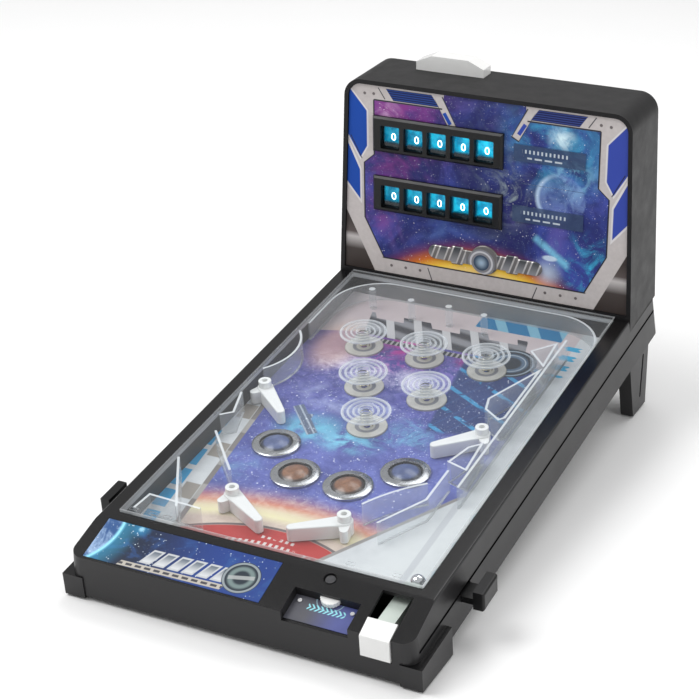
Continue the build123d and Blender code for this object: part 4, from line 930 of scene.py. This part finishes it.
def ridgedCap():
    cap = roundBlank(capLook["radius"], capLook["thick"], capLook["sides"])
    for _ in range(capLook["rings"]):
        bpy.ops.mesh.inset(thickness=capLook["gap"] * capLook["flank"])
        bpy.ops.mesh.inset(thickness=capLook["wide"] * capLook["crest"])
        bpy.ops.transform.translate(value=(0, 0, capLook["ridge"]))
        bpy.ops.mesh.inset(thickness=capLook["wide"] * capLook["flank"])
        bpy.ops.mesh.inset(thickness=capLook["wide"] * capLook["crest"])
        bpy.ops.transform.translate(value=(0, 0, -capLook["ridge"]))
    bpy.ops.mesh.inset(thickness=capLook["knobGap"])
    bpy.ops.mesh.extrude_region_move(TRANSFORM_OT_translate={"value": (0, 0, capLook["knob"])})
    bpy.ops.object.mode_set(mode="OBJECT")
    begin()
    return cap


def addCaps():
    caps = []
    model = ridgedCap()
    low = layout["boardTop"] - capLook["sink"]
    for x, s, _, height in bumperSpots:
        caps.append(copied(model, deckPlane, x, s, height - capLook["ridge"] - capLook["knob"]))
        begin()
        bpy.ops.mesh.primitive_cylinder_add(vertices=capLook["postSides"], radius=capLook["postRadius"],
                                            depth=height - low)
        post = bpy.context.object
        bpy.ops.object.mode_set(mode="EDIT")
        bpy.ops.mesh.select_all(action="SELECT")
        bpy.ops.mesh.bevel(offset=capLook["postBevel"], segments=2)
        bpy.ops.object.mode_set(mode="OBJECT")
        caps.append(settle(post, deckPlane, x, s, (height + low) / 2))
    bpy.data.objects.remove(model)
    whole = joined(caps, "bumper_caps_ridged", capClear)
    smoothed(whole)
    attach(whole, "frame")
    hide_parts("bumper_caps")


ringLook = {"over": 1.11, "depth": 0.0024, "slope": 0.0013, "rise": 0.0007, "bore": 0.0127, "wall": 0.0003,
            "well": 0.8, "sides": 72}    # over: how much wider than the plain ring


def addRings():
    spots = solidSpots("lamp_rings", deckPlane)
    wide = spots[0][2] * ringLook["over"]
    model = roundBlank(wide, ringLook["depth"], ringLook["sides"], -ringLook["rise"])
    bpy.ops.mesh.inset(thickness=ringLook["slope"])
    bpy.ops.transform.translate(value=(0, 0, ringLook["rise"]))
    bpy.ops.mesh.inset(thickness=wide - ringLook["slope"] - ringLook["bore"])
    bpy.ops.mesh.inset(thickness=ringLook["wall"])
    bpy.ops.transform.translate(value=(0, 0, -ringLook["depth"] * ringLook["well"]))
    bpy.ops.object.mode_set(mode="OBJECT")
    rings = [copied(model, deckPlane, x, s, top) for x, s, _, top in spots]
    bpy.data.objects.remove(model)
    whole = joined(rings, "lamp_rings_stepped", chrome)
    smoothed(whole)
    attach(whole, "frame")
    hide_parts("lamp_rings")


digitLook = {"size": 0.0092, "thick": 0.00025, "radius": 0.019, "start": -5, "step": 36, "proud": 0.00008}


def addDigits():
    for name, joint in joints.items():
        if not name.startswith("reel_"):
            continue
        centre = Vector(joint["pos_m"])
        made = []
        for value in range(10):
            begin()
            bpy.ops.object.text_add()
            text = bpy.context.object
            text.data.body = str(value)
            text.data.size = digitLook["size"]
            text.data.align_x = "CENTER"
            text.data.align_y = "CENTER"
            text.data.resolution_u = 3
            bpy.ops.object.convert(target="MESH")
            digit = bpy.context.object
            bpy.ops.object.mode_set(mode="EDIT")
            bpy.ops.mesh.select_all(action="SELECT")
            bpy.ops.mesh.extrude_region_move(TRANSFORM_OT_translate={"value": (0, 0, digitLook["thick"])})
            bpy.ops.mesh.select_all(action="SELECT")
            bpy.ops.mesh.normals_make_consistent(inside=False)
            bpy.ops.object.mode_set(mode="OBJECT")
            turn = math.radians(digitLook["start"] + digitLook["step"] * value)
            for vertex in digit.data.vertices:    # wraps the flat figure round the drum
                angle = turn + vertex.co.y / digitLook["radius"]
                reach = digitLook["radius"] + digitLook["proud"] - digitLook["thick"] + vertex.co.z
                spot = headFront * math.cos(angle) * reach + headUp * math.sin(angle) * reach
                vertex.co = centre + spot + right * vertex.co.x
            digit.matrix_world = Matrix.Identity(4)
            made.append(digit)
        whole = joined(made, "digits_" + name.removesuffix("_turn"), digits)
        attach(whole, joint["child"])


addCaps()
addRings()
addDigits()
print("ridged caps, stepped rings and reel figures made")


# Camera, floor and light.

view = {"place": (0.5365, -0.9082, 0.6991), "yaw": 26.48, "pitch": -24.83, "roll": 0.39, "lens": 97.3,
        "sensor": 36, "near": 0.05, "shiftY": 0.2355303}    # shiftY: from the frame's middle to the front feet


def addCamera():
    data = bpy.data.cameras.new("camera")
    data.lens = view["lens"]
    data.sensor_width = view["sensor"]
    data.clip_start = view["near"]
    camera = bpy.data.objects.new("camera", data)
    bpy.context.scene.collection.objects.link(camera)
    x, y, z = view["place"]
    turn = Matrix.Rotation(math.radians(view["yaw"]), 4, "Z")
    tip = Matrix.Rotation(math.radians(90 + view["pitch"]), 4, "X")
    roll = Matrix.Rotation(math.radians(-view["roll"]), 4, "Z")
    camera.matrix_world = Matrix.Translation((x, y - view["shiftY"], z)) @ turn @ tip @ roll
    bpy.context.scene.camera = camera


floorLook = {"size": 12, "dull": (0.90, 0.90, 0.90), "bright": (0.93, 0.93, 0.93)}


def addFloor():
    bpy.ops.mesh.primitive_plane_add(size=floorLook["size"], location=(0, 0, cadBox[0].z))
    floor = bpy.context.object
    floor.name = "floor"
    made = Finish("floorPaper", Roughness=0.9)
    made.feed("Base Color", made.mix(made.noise(3), floorLook["dull"], floorLook["bright"]))
    floor.data.materials.append(made.material)
    floor.select_set(False)


lampLook = {    # place, size and power of each soft lamp
    "keyLamp": ((-1.2, -0.6, 2.0), (1.3, 1.3), 34),
    "sideLamp": ((2.2, -0.5, 0.9), (1.4, 1.0), 14),
    "topLamp": ((0.2, 1.0, 1.9), (1.6, 1.0), 14),
}
lightLook = {"world": 0.55, "target": (0, 0, 0.1)}


def addLamp(name, place, size, power):
    data = bpy.data.lights.new(name, "AREA")
    data.shape = "RECTANGLE"
    data.size, data.size_y = size
    data.energy = power
    lamp = bpy.data.objects.new(name, data)
    bpy.context.scene.collection.objects.link(lamp)
    aim = Vector(lightLook["target"]) - Vector(place)
    lamp.matrix_world = Matrix.Translation(place) @ aim.to_track_quat("-Z", "Y").to_matrix().to_4x4()


def addLight():
    world = bpy.data.worlds.new("studio")
    world.use_nodes = True
    world.node_tree.nodes["Background"].inputs["Color"].default_value = (1, 1, 1, 1)
    world.node_tree.nodes["Background"].inputs["Strength"].default_value = lightLook["world"]
    bpy.context.scene.world = world
    bpy.context.scene.view_settings.view_transform = "Standard"
    for name, (place, size, power) in lampLook.items():
        addLamp(name, place, size, power)


addCamera()
addFloor()
addLight()
print("camera, floor and lamps made")
